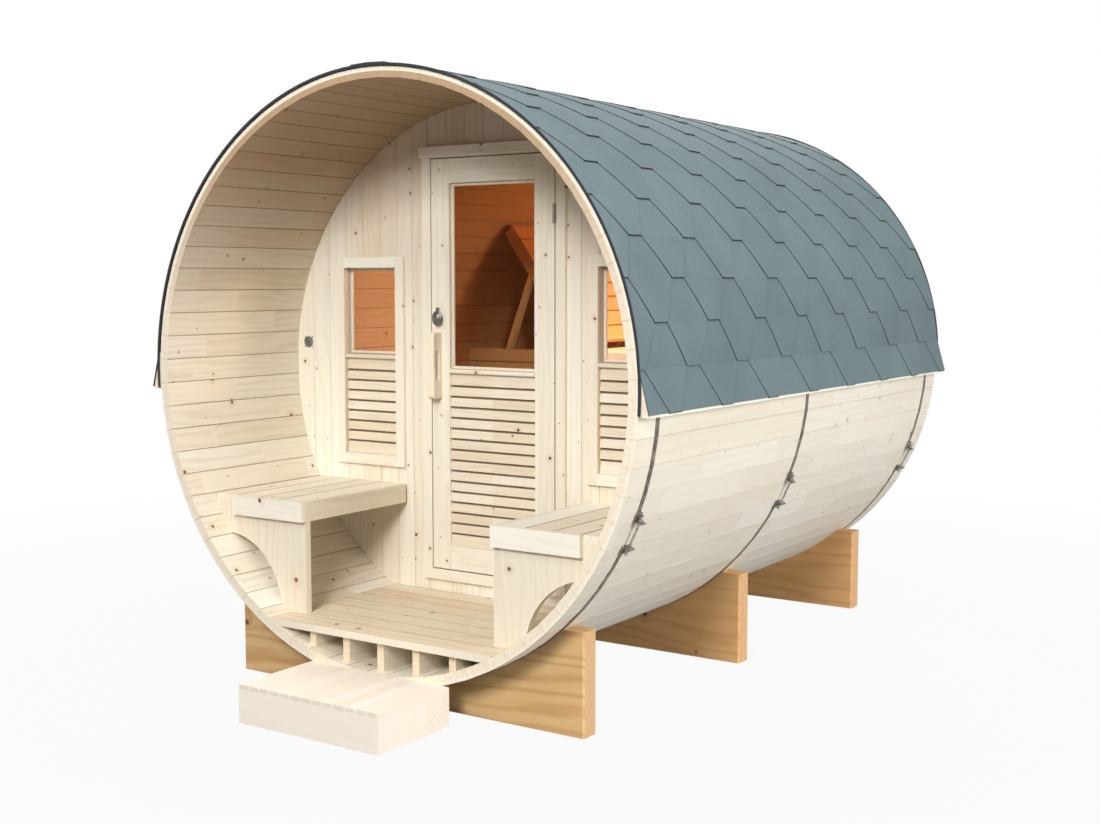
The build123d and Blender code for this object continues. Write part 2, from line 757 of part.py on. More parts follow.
def rear_bench():
    """Bench across the cabin's rear end, with a slatted backrest propped up on the left."""
    front = rear_wall_front - rear_bench_depth
    back = rear_wall_front - seat_gap
    slat_low = rear_bench_height - rear_slat_thickness
    slat_start = front + rear_apron_thickness + seat_gap
    apron = []
    for board in range(rear_apron_boards):
        high = rear_bench_height - board * (rear_apron_board + rear_apron_gap)
        strip = bore & window_rectangle(-barrel_radius, high - rear_apron_board, barrel_radius, high)
        apron.append(along(strip, front, front + rear_apron_thickness))
    bearer = bore & window_rectangle(-barrel_radius, slat_low - seat_gap - rear_bearer_height,
                                     barrel_radius, slat_low - seat_gap)
    apron.append(along(bearer, slat_start, slat_start + rear_bearer_thickness))
    apron.append(along(bearer, back - rear_bearer_thickness, back))
    write("rear_bench_front", apron)
    slats = []
    pitch = rear_slat_width + rear_slat_gap
    right_end = bore_half_width(slat_low)
    for low, high in split_evenly(-backrest_hinge, right_end, pitch):
        left, right = low + rear_slat_gap / 2, high - rear_slat_gap / 2
        slat = window_rectangle(left, slat_low, right, rear_bench_height)
        slats.append(along(slat & bore, slat_start, back))
    write("rear_bench_top", slats)
    foot = Pos(-backrest_hinge, 0, rear_bench_height + seat_gap) * Rot(0, backrest_angle, 0)
    rail_y = (slat_start + backrest_rail_inset, back - backrest_rail_inset - backrest_rail_thickness)
    rails = [
        foot * block((-backrest_length, start, 0), (0, start + backrest_rail_thickness, backrest_rail_height))
        for start in rail_y
    ]
    rests = [
        foot * block((low, slat_start, backrest_rail_height + seat_gap),
                     (high - rear_slat_gap, back, backrest_rail_height + seat_gap + rear_slat_thickness))
        for low, high in split_evenly(-backrest_length, 0, pitch)
    ]
    write("rear_backrest", rails + rests)
    return rail_y[0]


def backrest_prop(rail_y):
    """Square stick that holds the backrest up, from the bearer to the rail's underside."""
    turn = radians(backrest_angle)
    hinge_x, hinge_z = -backrest_hinge, rear_bench_height + seat_gap
    foot_z = rear_bench_height - rear_slat_thickness
    lean = (hinge_x - backrest_run * prop_share + prop_foot, hinge_z + backrest_climb * prop_share - foot_z)

    def under_rail(foot_x):
        below = (foot_x - hinge_x) * sin(turn) + (foot_z - hinge_z) * cos(turn)
        travel = -(seat_gap + below) / (lean[0] * sin(turn) + lean[1] * cos(turn))
        return foot_x + travel * lean[0], foot_z + travel * lean[1]

    left, right = -prop_foot - prop_width / 2, -prop_foot + prop_width / 2
    stick = outline((left, foot_z), (right, foot_z), under_rail(right), under_rail(left))
    write("backrest_prop", [along(stick, rail_y, rail_y + backrest_rail_thickness)])


def front_step():
    """Low box step of boards in front of the porch."""
    back = front_y
    front = back - step_depth
    left, right = step_offset - step_half_width, step_offset + step_half_width
    top_low = step_height - step_top_thickness
    top = [
        block((low, front, top_low), (high, back, step_height))
        for low, high in split_evenly(left, right, step_slat_width)
    ]
    side_top = top_low - seat_gap
    inner_front, inner_back = front + step_board + seat_gap, back - step_board - seat_gap
    sides = [
        block((left, front, 0), (right, front + step_board, side_top)),
        block((left, back - step_board, 0), (right, back, side_top)),
        block((left, inner_front, 0), (left + step_board, inner_back, side_top)),
        block((right - step_board, inner_front, 0), (right, inner_back, side_top)),
    ]
    write("front_step_top", top)
    write("front_step_sides", sides)


barrel()
for place_name, place_offset in (
    ("front", cradle_front_offset), ("middle", cradle_middle_offset), ("rear", cradle_rear_offset),
):
    write(f"cradle_{place_name}", [cradle(place_offset)])
bands()
roof()
front_wall()
back_wall()
windows()
doorway()
door_leaf()
door_handle()
door_latch()
hinges()
wall_vent()
floor()
porch_benches()
backrest_prop(rear_bench())
front_step()
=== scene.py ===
from math import cos, pi, radians, sin, sqrt

import bpy
from mathutils import Matrix, Vector


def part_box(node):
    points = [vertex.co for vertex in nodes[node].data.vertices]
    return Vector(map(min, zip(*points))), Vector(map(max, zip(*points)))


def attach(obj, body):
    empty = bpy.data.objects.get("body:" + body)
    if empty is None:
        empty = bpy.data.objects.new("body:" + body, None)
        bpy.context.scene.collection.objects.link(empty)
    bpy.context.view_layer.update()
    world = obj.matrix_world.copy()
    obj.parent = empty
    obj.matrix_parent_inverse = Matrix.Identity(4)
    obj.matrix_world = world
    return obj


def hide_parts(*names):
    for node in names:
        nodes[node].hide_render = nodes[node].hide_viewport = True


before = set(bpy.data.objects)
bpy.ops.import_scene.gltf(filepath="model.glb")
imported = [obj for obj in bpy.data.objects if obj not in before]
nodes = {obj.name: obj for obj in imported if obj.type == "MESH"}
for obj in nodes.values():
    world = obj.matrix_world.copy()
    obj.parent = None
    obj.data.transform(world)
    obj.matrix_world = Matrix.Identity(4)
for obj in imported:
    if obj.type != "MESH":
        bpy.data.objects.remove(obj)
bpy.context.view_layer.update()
print("frame loaded:", len(nodes), "nodes")

# the barrel as packed, in metres
barrel = {
    "axis": 1.087,
    "front": -1.0825,
    "rear": 1.4225,
    "staves": 72,
    "wallFront": -0.4115,
    "doorFace": -0.4255,
    "backMiddle": (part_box("back_wall")[0][1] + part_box("back_wall")[1][1]) / 2,
}


def srgb(red, green, blue):  # screen colour to the shader's linear colour
    def channel(value):
        value = value / 255
        return value / 12.92 if value <= 0.04045 else ((value + 0.055) / 1.055) ** 2.4

    return (channel(red), channel(green), channel(blue), 1.0)


class Flow:  # one socket of a shader tree, with arithmetic
    def __init__(self, tree, socket):
        self.tree = tree
        self.socket = socket

    def add(self, kind, settings=None, sockets=None, out=0):
        node = self.tree.nodes.new(kind)
        for key, value in (settings or {}).items():
            setattr(node, key, value)
        for key, value in (sockets or {}).items():
            if isinstance(value, Flow):
                self.tree.links.new(value.socket, node.inputs[key])
            else:
                node.inputs[key].default_value = value
        return Flow(self.tree, node.outputs[out])

    def also(self, out):  # another output of the same node
        return Flow(self.tree, self.socket.node.outputs[out])

    def calc(self, operation, *others):
        return self.add("ShaderNodeMath", {"operation": operation}, dict(enumerate((self, *others))))

    def __add__(self, other):
        return self.calc("ADD", other)

    __radd__ = __add__

    def __sub__(self, other):
        return self.calc("SUBTRACT", other)

    def __rsub__(self, other):
        return self.add("ShaderNodeMath", {"operation": "SUBTRACT"}, {0: other, 1: self})

    def __mul__(self, other):
        return self.calc("MULTIPLY", other)

    __rmul__ = __mul__

    def __truediv__(self, other):
        return self.calc("DIVIDE", other)

    def __pow__(self, other):
        return self.calc("POWER", other)

    def __gt__(self, other):
        return self.calc("GREATER_THAN", other)

    def __abs__(self):
        return self.calc("ABSOLUTE")

    def clamp(self):
        return self.add("ShaderNodeClamp", None, {0: self})

    def tint(self, low, high):  # colour between two, by this value
        return self.add("ShaderNodeMix", {"data_type": "RGBA"}, {0: self, 6: low, 7: high}, 2)

    def point(self, x, y, z):
        return self.add("ShaderNodeCombineXYZ", None, {0: x, 1: y, 2: z})

    def noise(self, vector, scale, detail=2.0):
        return self.add("ShaderNodeTexNoise", None, {"Vector": vector, "Scale": scale, "Detail": detail})


def freshMaterial(name):  # material, its shader, and the object's own x, y, z
    material = bpy.data.materials.new(name)
    material.use_nodes = True
    tree = material.node_tree
    shader = tree.nodes["Principled BSDF"]
    coords = tree.nodes.new("ShaderNodeTexCoord")
    start = Flow(tree, coords.outputs["Object"])
    xyz = start.add("ShaderNodeSeparateXYZ", None, {0: start})
    return material, shader, start, (xyz, xyz.also(1), xyz.also(2))


def feed(shader, **values):  # links or sets sockets of the shader
    for key, value in values.items():
        socket = shader.inputs[key.replace("_", " ")]
        if isinstance(value, Flow):
            value.tree.links.new(value.socket, socket)
        else:
            socket.default_value = value


def bumped(height, strength, distance):
    return height.add("ShaderNodeBump", None, {"Height": height, "Strength": strength, "Distance": distance})


spruce = {
    "pale": srgb(237, 233, 220),
    "late": srgb(206, 187, 156),
    "rosy": srgb(229, 217, 196),
    "knot": srgb(92, 58, 34),
    "halo": srgb(196, 154, 108),
    "end": srgb(224, 202, 170),
    "rings": 30.0,
    "wander": 5.5,
    "contrast": 0.36,
    "knots": 0.38,
    "knotScale": 8.5,
    "spread": 0.85,
    "rough": 0.62,
}
pine = dict(
    spruce,
    pale=srgb(214, 184, 132),
    late=srgb(168, 116, 64),
    rosy=srgb(206, 162, 106),
    end=srgb(206, 156, 112),
    halo=srgb(160, 106, 58),
    rings=17.0,
    wander=3.6,
    contrast=0.55,
    knots=0.3,
    knotScale=5.0,
)
stepSpruce = dict(
    spruce,
    pale=srgb(240, 233, 222),
    late=srgb(228, 212, 190),
    rosy=srgb(238, 225, 208),
    knots=0.05,
    end=srgb(228, 208, 184),
)

# how grain is drawn: a noise has its scales along and across a board, its shift per board and its detail
grain = {
    "toneSeed": 0.37,
    "knotShift": (1.713, 0.637),
    "knotSize": (0.022, 0.065),
    "knotEdge": 0.45,
    "pullReach": 3.2,
    "pullRings": 1.4,
    "pullHalo": 0.4,
    "sway": (1.2, 8, 3.7, 2.0),
    "streak": (5, 300, 9, 1.0),
    "broad": (1.6, 16, 5, 1.0),
    "broadShare": (0.1, 1.3),
    "deepRings": 31,
    "ringEdge": 2.2,
    "streakShare": 0.35,
    "toneShare": 0.42,
    "leastDark": 0.08,
    "endScale": 60,
    "endRings": 14,
    "endShare": (0.52, 0.16),
    "endFacing": 0.75,
    "relief": (0.35, 0.4, 0.3),
    "roughSpan": 0.18,
    "bump": (0.3, 0.0006),
}


def boardWood(name, look, lay, ends=None, stainsAndShades=()):  # boards with rings, streaks, knots, stains, and painted shade and light
    material, shader, start, xyz = freshMaterial(name)
    along, across, depth, board = lay(*xyz)
    tone = start.add("ShaderNodeTexWhiteNoise", {"noise_dimensions": "1D"}, {"W": board + grain["toneSeed"]})
    hue = tone.also(1).add("ShaderNodeSeparateColor", None, {0: tone.also(1)}, 1)

    def stretched(lengthwise, crosswise, shift, detail):
        place = start.point(along * lengthwise, across * crosswise + board * shift, depth * crosswise)
        return start.noise(place, 1.0, detail)

    shiftAlong, shiftAcross = grain["knotShift"]
    spot = start.point(along + board * shiftAlong, across + board * shiftAcross, 0)
    cells = start.add("ShaderNodeTexVoronoi", {"voronoi_dimensions": "2D"},
                      {"Vector": spot, "Scale": look["knotScale"]})
    chance = cells.add("ShaderNodeSeparateColor", None, {0: cells.also(1)})
    least, more = grain["knotSize"]
    size = chance.also(1) ** 2 * more + least
    kept = 1 - (chance > look["knots"])
    knot = ((size - cells) / (size * grain["knotEdge"])).clamp() * kept
    reach = size * grain["pullReach"]
    pull = ((reach - cells) / reach).clamp() * kept

    sway = stretched(*grain["sway"])
    wave = across * look["rings"] + depth * grain["deepRings"]
    wave = wave + sway * look["wander"] + pull * grain["pullRings"]
    rings = ((wave * (2 * pi)).calc("SINE") * 0.5 + 0.5) ** grain["ringEdge"]
    streak = stretched(*grain["streak"])
    broad = stretched(*grain["broad"])

    ground = (hue * look["spread"]).tint(look["pale"], look["rosy"])
    least, more = grain["broadShare"]
    dark = rings * look["contrast"] * (broad * more + least)
    dark = dark + (streak - 0.5) * grain["streakShare"]
    dark = dark + (tone - 0.5) * grain["toneShare"] + grain["leastDark"]
    colour = dark.clamp().tint(ground, look["late"])
    colour = (pull * grain["pullHalo"]).tint(colour, look["halo"])
    colour = knot.tint(colour, look["knot"])
    if ends is not None:
        normal = Flow(start.tree, start.socket.node.outputs["Normal"])
        facing = abs(normal.add("ShaderNodeSeparateXYZ", None, {0: normal}, "XYZ".index(ends)))
        endPlace = start.point(across * grain["endScale"], depth * grain["endScale"], board)
        yearly = start.noise(endPlace, 1.0, 1.0)
        middle, swing = grain["endShare"]
        pores = (yearly * grain["endRings"]).calc("SINE") * swing + middle
        colour = (facing > grain["endFacing"]).tint(colour, pores.clamp().tint(look["pale"], look["end"]))
    # stains, and painted shade and light, laid over the wood's colour
    for stainAndShadeMask, amount, tone in stainsAndShades:
        colour = (stainAndShadeMask(*xyz) * amount).tint(colour, tone)
    ringRelief, streakRelief, knotRelief = grain["relief"]
    height = rings * ringRelief + streak * streakRelief - knot * knotRelief
    rough = streak * grain["roughSpan"] + (look["rough"] - grain["roughSpan"] / 2)
    feed(shader, Base_Color=colour, Roughness=rough, Normal=bumped(height, *grain["bump"]))
    return material


def steps(value, edges):  # how many of the edges lie below the value
    total = value > edges[0]
    for edge in edges[1:]:
        total = total + (value > edge)
    return total


def floored(value, first, pitch):
    return ((value - first) / pitch).calc("FLOOR")


# offsets that give each kind of board random tones of its own
lot = {
    "stave": 40, "staveLength": 83, "upright": 3, "uprightRight": 17, "uprightRun": 50, "cross": 9,
    "slat": 5, "slatRight": 23, "length": 2, "lengthRight": 31, "lengthRun": 60, "apron": 11,
    "mitre": 1, "mitreLying": 7, "mitreRight": 3, "mitreOuter": 2, "cradle": 4, "panel": 2, "panelRight": 5,
    "handle": 4, "stepSide": 3,
}

stave = {
    "wide": 0.0873,
    "length": 0.55,
    "stagger": 0.618,
    "seam": 0.481,
    "inside": 0.966,
    "vaultShade": 0.985,
    "outside": 0.99,
    "rim": 0.001,
}


def staveTurns(x, z):  # place round the barrel, counted in staves
    return (z - barrel["axis"]).calc("ARCTAN2", x) * (barrel["staves"] / (2 * pi))


def staveRadius(x, y, z):
    return (x * x + (z - barrel["axis"]) * (z - barrel["axis"])).calc("SQRT")


def staveLay(x, y, z):  # staves jointed from shorter lengths
    turns = staveTurns(x, z)
    board = (turns + 0.5).calc("FLOOR")
    shifted = y + (board * stave["stagger"]).calc("FRACT") * stave["length"]
    lengths = (shifted / stave["length"]).calc("FLOOR")
    number = board + lot["stave"] + lengths * lot["staveLength"]
    return y, (turns - board) * stave["wide"], staveRadius(x, y, z), number


def staveSeam(x, y, z):
    turns = staveTurns(x, z)
    return abs(turns - (turns + 0.5).calc("FLOOR")) > stave["seam"]


def innerSeam(x, y, z):  # the joints show inside, away from the barrel's front rim
    inside = 1 - (staveRadius(x, y, z) > stave["inside"])
    return staveSeam(x, y, z) * inside * (y > barrel["front"] + stave["rim"])


def outerSeam(x, y, z):
    return staveSeam(x, y, z) * (staveRadius(x, y, z) > stave["inside"])


# where the painted shade under the vault starts and how far it rises, and where the cabin begins
shadeAndCabinReach = {"low": 1.25, "rise": 0.6, "cabinStart": 0.05}


def vaultShadeAndMellow(x, y, z):  # painted shade: the wood under the porch's vault and the upper wall get darker and warmer towards the top, partly also mellowed wood
    under = 1 - (staveRadius(x, y, z) > stave["vaultShade"])
    return ((z - shadeAndCabinReach["low"]) / shadeAndCabinReach["rise"]).clamp() * under


def heated(x, y, z):  # wood inside the cabin has turned amber
    inside = (y > barrel["wallFront"] + shadeAndCabinReach["cabinStart"]) * (1 - (y > barrel["backMiddle"]))
    return inside * (1 - (staveRadius(x, y, z) > stave["inside"]))


def weatherSide(x, y, z):
    return staveRadius(x, y, z) > stave["outside"]


def boardSeams(edges, half=0.0016):  # joints between upright boards
    def stainAndShadeMask(x, y, z):
        near = abs(abs(x) - edges[0])
        for edge in edges[1:]:
            near = near.calc("MINIMUM", abs(abs(x) - edge))
        return 1 - (near > half)
    return stainAndShadeMask


def crossSeams(first, pitch, half=0.0022):  # joints between floor boards
    def stainAndShadeMask(x, y, z):
        place = (y - first) / pitch
        return 1 - (abs(place - (place + 0.5).calc("FLOOR")) > half / pitch)
    return stainAndShadeMask


def paintedLitNosing(x, y, z, depth=0.002):  # painted light: the floor's front face is lightened, as if lit from the front
    return 1 - (y > barrel["front"] + depth)


step = {"first": -0.273, "slat": 0.582 / 13, "middle": -1.2, "finger": 0.36, "face": 0.3449, "fingerLow": 0.1}


def fingerEnds(x, y, z):  # the slats' ends show as fingers in the step's front
    place = (x - step["first"]) / step["slat"]
    middle = 1 - (abs(place - place.calc("FLOOR") - 0.5) > step["finger"])
    return middle * (1 - (y > barrel["front"] - step["face"])) * (z > step["fingerLow"])


def stepSides(x, y, z):
    return x + y, z, y, (y > step["middle"]) + lot["stepSide"]


def behind(depth, reach=0.006):  # painted shade: darker the deeper it lies behind a face, as shade in the gaps between louvre slats
    def stainAndShadeMask(x, y, z):
        return ((y - depth) / reach).clamp()
    return stainAndShadeMask


def uprights(edges):  # vertical boards, the same on both sides
    def lay(x, y, z):
        board = steps(abs(x), edges) + (x > 0) * lot["uprightRight"]
        return z, x, y, board + lot["upright"]
    return lay


def uprightRun(first, pitch):
    def lay(x, y, z):
        return z, x, y, floored(x, first, pitch) + lot["uprightRun"]
    return lay


def crossBoards(first, pitch):  # boards across the barrel, counted along it
    def lay(x, y, z):
        return x, y, z, floored(y, first, pitch) + lot["cross"]
    return lay


def lyingSlats(first, pitch):  # slats across, counted by height
    def lay(x, y, z):
        return x, z, y, floored(z, first, pitch) + (x > 0) * lot["slatRight"] + lot["slat"]
    return lay


def lengthBoards(edges):  # boards along the barrel, counted outwards
    def lay(x, y, z):
        return y, x, z, steps(abs(x), edges) + (x > 0) * lot["lengthRight"] + lot["length"]
    return lay


def seatBoards(edges, apronBack):  # boards along the barrel, behind an apron board that lies across
    def lay(x, y, z):
        apron = 1 - (y > apronBack)
        seat = 1 - apron
        board = (steps(abs(x), edges) + lot["length"]) * seat + apron * lot["apron"]
        board = board + (x > 0) * lot["lengthRight"]
        return apron * x + seat * y, apron * z + seat * x, apron * y + seat * z, board
    return lay


def seatGaps(edges, apronBack, half=0.0034):  # the sides of the gaps between the seat boards
    seams = boardSeams(edges, half)

    def stainAndShadeMask(x, y, z):
        return seams(x, y, z) * (y > apronBack)
    return stainAndShadeMask


def lengthRun(first, pitch):
    def lay(x, y, z):
        return y, x, z, floored(x, first, pitch) + lot["lengthRun"]
    return lay


def mitred(centre, halfWidth, low, high):  # strips round an opening: lying ones above and below
    def lay(x, y, z):
        aside = abs(abs(x) - centre) - halfWidth
        level = (z - low).calc("MULTIPLY", -1).calc("MAXIMUM", z - high)
        lying = level > aside
        along = lying * x + (1 - lying) * z
        across = lying * z + (1 - lying) * x
        board = lying * (z > (low + high) / 2) + lying * lot["mitreLying"] + (x > 0) * lot["mitreRight"]
        return along, across, y, board + (aside > 0) * lot["mitreOuter"] + lot["mitre"]
    return lay


def cradleLay(x, y, z):
    return x, z, y, floored(y, *boards["cradles"]) + lot["cradle"]


def sidedBoards(x, y, z):  # upright panels, one a side
    return z, x, y, (x > 0) * lot["panelRight"] + lot["panel"]


def handleLay(x, y, z):
    return z, x, y, x * 0 + lot["handle"]


def dress(material, *names):
    for name in names:
        slots = nodes[name].data.materials
        slots.clear()
        slots.append(material)


front, wall = barrel["front"], barrel["wallFront"]

# where the boards meet: edges counted outwards, or a first edge and a pitch
boards = {
    "cradles": (-2.0, 0.9),
    "wall": [0.3, 0.375, 0.45, 0.535, 0.62, 0.705, 0.791, 0.877],
    "doorway": (-0.3, 0.6 / 7),
    "backWall": (-0.96375, 0.0876),
    "stiles": [0.05, 0.2],
    "rails": (0.2, 0.45),
    "doorSlats": (0.4367, 0.0392),
    "windowSlats": (0.7541, 0.0392),
    "doorCasing": (0.0, 0.277, 0.335, 1.858),
    "windowCasing": (0.5775, 0.1275, 0.746, 1.46),
    "porchFloor": (front, 0.671 / 7),
    "cabinFloor": (wall, 1.744 / 18),
    "joists": (-0.375, 0.15),
    "seat": [0.4253, 0.5271, 0.6312, 0.7354],
    "apronBack": front + 0.1102,
    "battens": [0.5],
    "rearFront": (0.9228, 0.06),
    "rearTop": (-0.4199, 0.08139),
    "backrest": (-0.7464, 0.0459),
    "stepTop": (step["first"], step["slat"]),
    "slatFace": 0.008,
}

# stain colours, some of them painted shade and light
stainsAndPaintedLight = {
    # the first two are painted shade on the wood under the porch's vault and on the upper wall, partly also
    # mellowed wood
    "mellowShade": srgb(170, 132, 88),
    "vaultShade": srgb(152, 114, 72),
    "amber": srgb(198, 152, 104),
    "toasted": srgb(188, 112, 54),
    "weathered": srgb(240, 233, 217),
    "innerJoint": srgb(112, 76, 42),
    "outerJoint": srgb(150, 120, 84),
    "wallJoint": srgb(140, 104, 64),
    "floorJoint": srgb(128, 96, 60),
    "seatGap": srgb(150, 112, 70),
    # painted shade in the gaps between the louvre slats
    "slatGapShade": srgb(118, 86, 53),
    # painted light on the floor's front face
    "paintedLitNosing": srgb(245, 236, 218),
    "finger": srgb(204, 186, 160),
}

staveStainsAndShade = [
    # painted shade under the vault, partly also mellowed wood
    (vaultShadeAndMellow, 0.8, stainsAndPaintedLight["vaultShade"]),
    (heated, 0.5, stainsAndPaintedLight["amber"]),
    (weatherSide, 0.45, stainsAndPaintedLight["weathered"]),
    (innerSeam, 0.8, stainsAndPaintedLight["innerJoint"]),
    (outerSeam, 0.2, stainsAndPaintedLight["outerJoint"]),
]
# painted shade on the upper wall under the vault, partly also mellowed wood
mellowAndShade = (vaultShadeAndMellow, 0.3, stainsAndPaintedLight["mellowShade"])
wallStainsAndShade = [mellowAndShade, (boardSeams(boards["wall"]), 0.3, stainsAndPaintedLight["wallJoint"])]
backStains = [(heated, 0.85, stainsAndPaintedLight["toasted"])]
# painted shade between the slats of the door and window louvres
doorSlatShade = [(behind(barrel["doorFace"] + boards["slatFace"]), 0.75, stainsAndPaintedLight["slatGapShade"])]
windowSlatShade = [(behind(wall + boards["slatFace"]), 0.75, stainsAndPaintedLight["slatGapShade"])]
porchStainsAndLight = [
    (crossSeams(*boards["porchFloor"]), 0.6, stainsAndPaintedLight["floorJoint"]),
    # painted light on the floor's front face
    (paintedLitNosing, 0.7, stainsAndPaintedLight["paintedLitNosing"]),
]
cabinStains = [(crossSeams(*boards["cabinFloor"]), 0.6, stainsAndPaintedLight["floorJoint"])]
seatStains = [(seatGaps(boards["seat"][1:], boards["apronBack"]), 0.5, stainsAndPaintedLight["seatGap"])]
stepStains = [(fingerEnds, 0.35, stainsAndPaintedLight["finger"])]

# painted light: a lighter, redder copy of the pine stands in for the warm bounce light on the middle and rear
# cradles
bounceLitPine = dict(pine, pale=srgb(234, 194, 138), late=srgb(194, 132, 78), rosy=srgb(226, 176, 116))
wallLook = dict(spruce, knots=0.42, knotScale=11.0, contrast=0.24)
doorSpruce = dict(spruce, knots=0.34, knotScale=11.0, contrast=0.24)
slatSpruce = dict(spruce, pale=srgb(227, 218, 199), late=srgb(196, 174, 141), rosy=srgb(219, 203, 177),
                  knots=0.16, knotScale=11.0, contrast=0.25)
handleLook = dict(doorSpruce, pale=srgb(243, 234, 216), late=srgb(222, 196, 158), knots=0.02)
porchLook = dict(spruce, pale=srgb(232, 216, 188), late=srgb(190, 158, 114), contrast=0.4)
joistLook = dict(spruce, end=srgb(222, 190, 142))
seatSpruce = dict(spruce, pale=srgb(239, 235, 222), contrast=0.24)
aspen = dict(spruce, pale=srgb(250, 244, 230), late=srgb(234, 218, 192), rosy=srgb(247, 236, 216), knots=0.06)
restAspen = dict(aspen, pale=srgb(224, 172, 116), late=srgb(192, 134, 80), rosy=srgb(218, 162, 106))

# material, look, lay of its boards, axis of its end grain, stains with painted shade and light, and the nodes
# that wear it
woods = [
    ("staveSpruce", spruce, staveLay, "Y", staveStainsAndShade,
     ["staves_top", "staves_right", "staves_bottom", "staves_left"]),
    ("cradlePine", pine, cradleLay, "X", [], ["cradle_front"]),
    # the middle and rear cradles wear the lighter, redder pine, painted bounce light
    ("cradleBounceLitPine", bounceLitPine, cradleLay, "X", [], ["cradle_middle", "cradle_rear"]),
    ("wallSpruce", wallLook, uprights(boards["wall"]), None, wallStainsAndShade,
     ["front_wall_left", "front_wall_right"]),
    ("doorwayWallSpruce", spruce, uprightRun(*boards["doorway"]), None, [mellowAndShade],
     ["front_wall_over_door", "front_wall_under_door"]),
    ("backWallSpruce", spruce, uprightRun(*boards["backWall"]), None, backStains, ["back_wall"]),
    ("stileSpruce", doorSpruce, uprights(boards["stiles"]), "Z", [], ["door_stiles"]),
    ("railSpruce", doorSpruce, lyingSlats(*boards["rails"]), None, [], ["door_rails"]),
    ("doorSlatSpruce", slatSpruce, lyingSlats(*boards["doorSlats"]), None, doorSlatShade, ["door_louvre"]),
    ("windowSlatSpruce", slatSpruce, lyingSlats(*boards["windowSlats"]), None, windowSlatShade,
     ["window_louvres"]),
    ("doorCasingSpruce", doorSpruce, mitred(*boards["doorCasing"]), None, [], ["door_casing", "door_frame"]),
    ("windowCasingSpruce", doorSpruce, mitred(*boards["windowCasing"]), None, [], ["window_casings"]),
    ("handleSpruce", handleLook, handleLay, "Z", [], ["door_handle"]),
    ("porchFloorSpruce", porchLook, crossBoards(*boards["porchFloor"]), "X", porchStainsAndLight, ["porch_floor"]),
    ("cabinFloorSpruce", spruce, crossBoards(*boards["cabinFloor"]), "X", cabinStains, ["cabin_floor"]),
    ("joistSpruce", joistLook, lengthRun(*boards["joists"]), "Y", [], ["floor_joists"]),
    ("seatSpruce", seatSpruce, seatBoards(boards["seat"], boards["apronBack"]), None, seatStains,
     ["porch_bench_left_seat", "porch_bench_right_seat"]),
    ("benchPanelSpruce", seatSpruce, sidedBoards, None, [],
     ["porch_bench_left_panel", "porch_bench_right_panel"]),
    ("battenSpruce", spruce, lengthBoards(boards["battens"]), "Y", [], ["eaves_battens"]),
    ("rearBenchAspen", aspen, lyingSlats(*boards["rearFront"]), None, [], ["rear_bench_front"]),
    ("rearSlatAspen", aspen, lengthRun(*boards["rearTop"]), "Y", [], ["rear_bench_top", "backrest_prop"]),
    ("backrestAspen", restAspen, lengthRun(*boards["backrest"]), "Y", [], ["rear_backrest"]),
    ("stepTopSpruce", stepSpruce, lengthRun(*boards["stepTop"]), None, stepStains, ["front_step_top"]),
    ("stepSideSpruce", stepSpruce, stepSides, None, [], ["front_step_sides"]),
]
for name, look, lay, ends, stainsAndShades, wearers in woods:
    dress(boardWood(name, look, lay, ends, stainsAndShades), *wearers)
print("woods dressed")

steelLook = {
    "strap": (srgb(150, 138, 120), 0.5),
    "galvanised": (srgb(188, 182, 170), 0.45),
    "pewter": (srgb(150, 146, 136), 0.38),
    "dark": 0.3,
    "patches": (0.42, 3.0),
    "wearScale": 6,
    "wearRough": 0.3,
    "metallic": 0.6,
    "bump": (0.12, 0.0004),
}


def metal(name, look, spangle):  # patchy steel
    colour, rough = steelLook[look]
    material, shader, start, _ = freshMaterial(name)
    patches = start.noise(start, spangle, 3.0)
    wear = start.noise(start, spangle * steelLook["wearScale"], 2.0)
    darker = tuple(channel * steelLook["dark"] for channel in colour[:3]) + (1.0,)
    level, steepness = steelLook["patches"]
    shade = ((patches - level) * steepness).clamp()
    roughness = wear * steelLook["wearRough"] + (rough - steelLook["wearRough"] / 2)
    feed(shader, Base_Color=shade.tint(darker, colour), Roughness=roughness, Metallic=steelLook["metallic"],
         Normal=bumped(wear, *steelLook["bump"]))
    return material


strapSteel = metal("strapSteel", "strap", 40.0)
galvanisedSteel = metal("galvanisedSteel", "galvanised", 160.0)
pewter = metal("pewterMetal", "pewter", 220.0)
dress(strapSteel, "steel_bands")
dress(galvanisedSteel, "band_tighteners", "door_hinges", "frame_hinges", "wall_vent")
dress(pewter, "door_latch")

bronze = {
    "surface": srgb(70, 40, 20),
    "smear": srgb(74, 40, 20),
    "smearScale": 9.0,
    "rough": (0.01, 0.06),
    "gloss": 0.05,
    "edgeGloss": 0.6,
    "edgeBlend": 0.12,
    # painted light and shade: the same bronze glass is set near clear on the windows and darker on the door,
    # to set how bright the cabin looks through each
    "window": srgb(253, 247, 239),
    "door": srgb(202, 181, 156),
}


def blend(start, factor, first, second):  # mixes two shaders into the material's output
    mix = start.tree.nodes.new("ShaderNodeMixShader")
    start.tree.links.new(factor.socket, mix.inputs[0])
    start.tree.links.new(first.outputs[0], mix.inputs[1])
    start.tree.links.new(second.outputs[0], mix.inputs[2])
    start.tree.links.new(mix.outputs[0], start.tree.nodes["Material Output"].inputs[0])


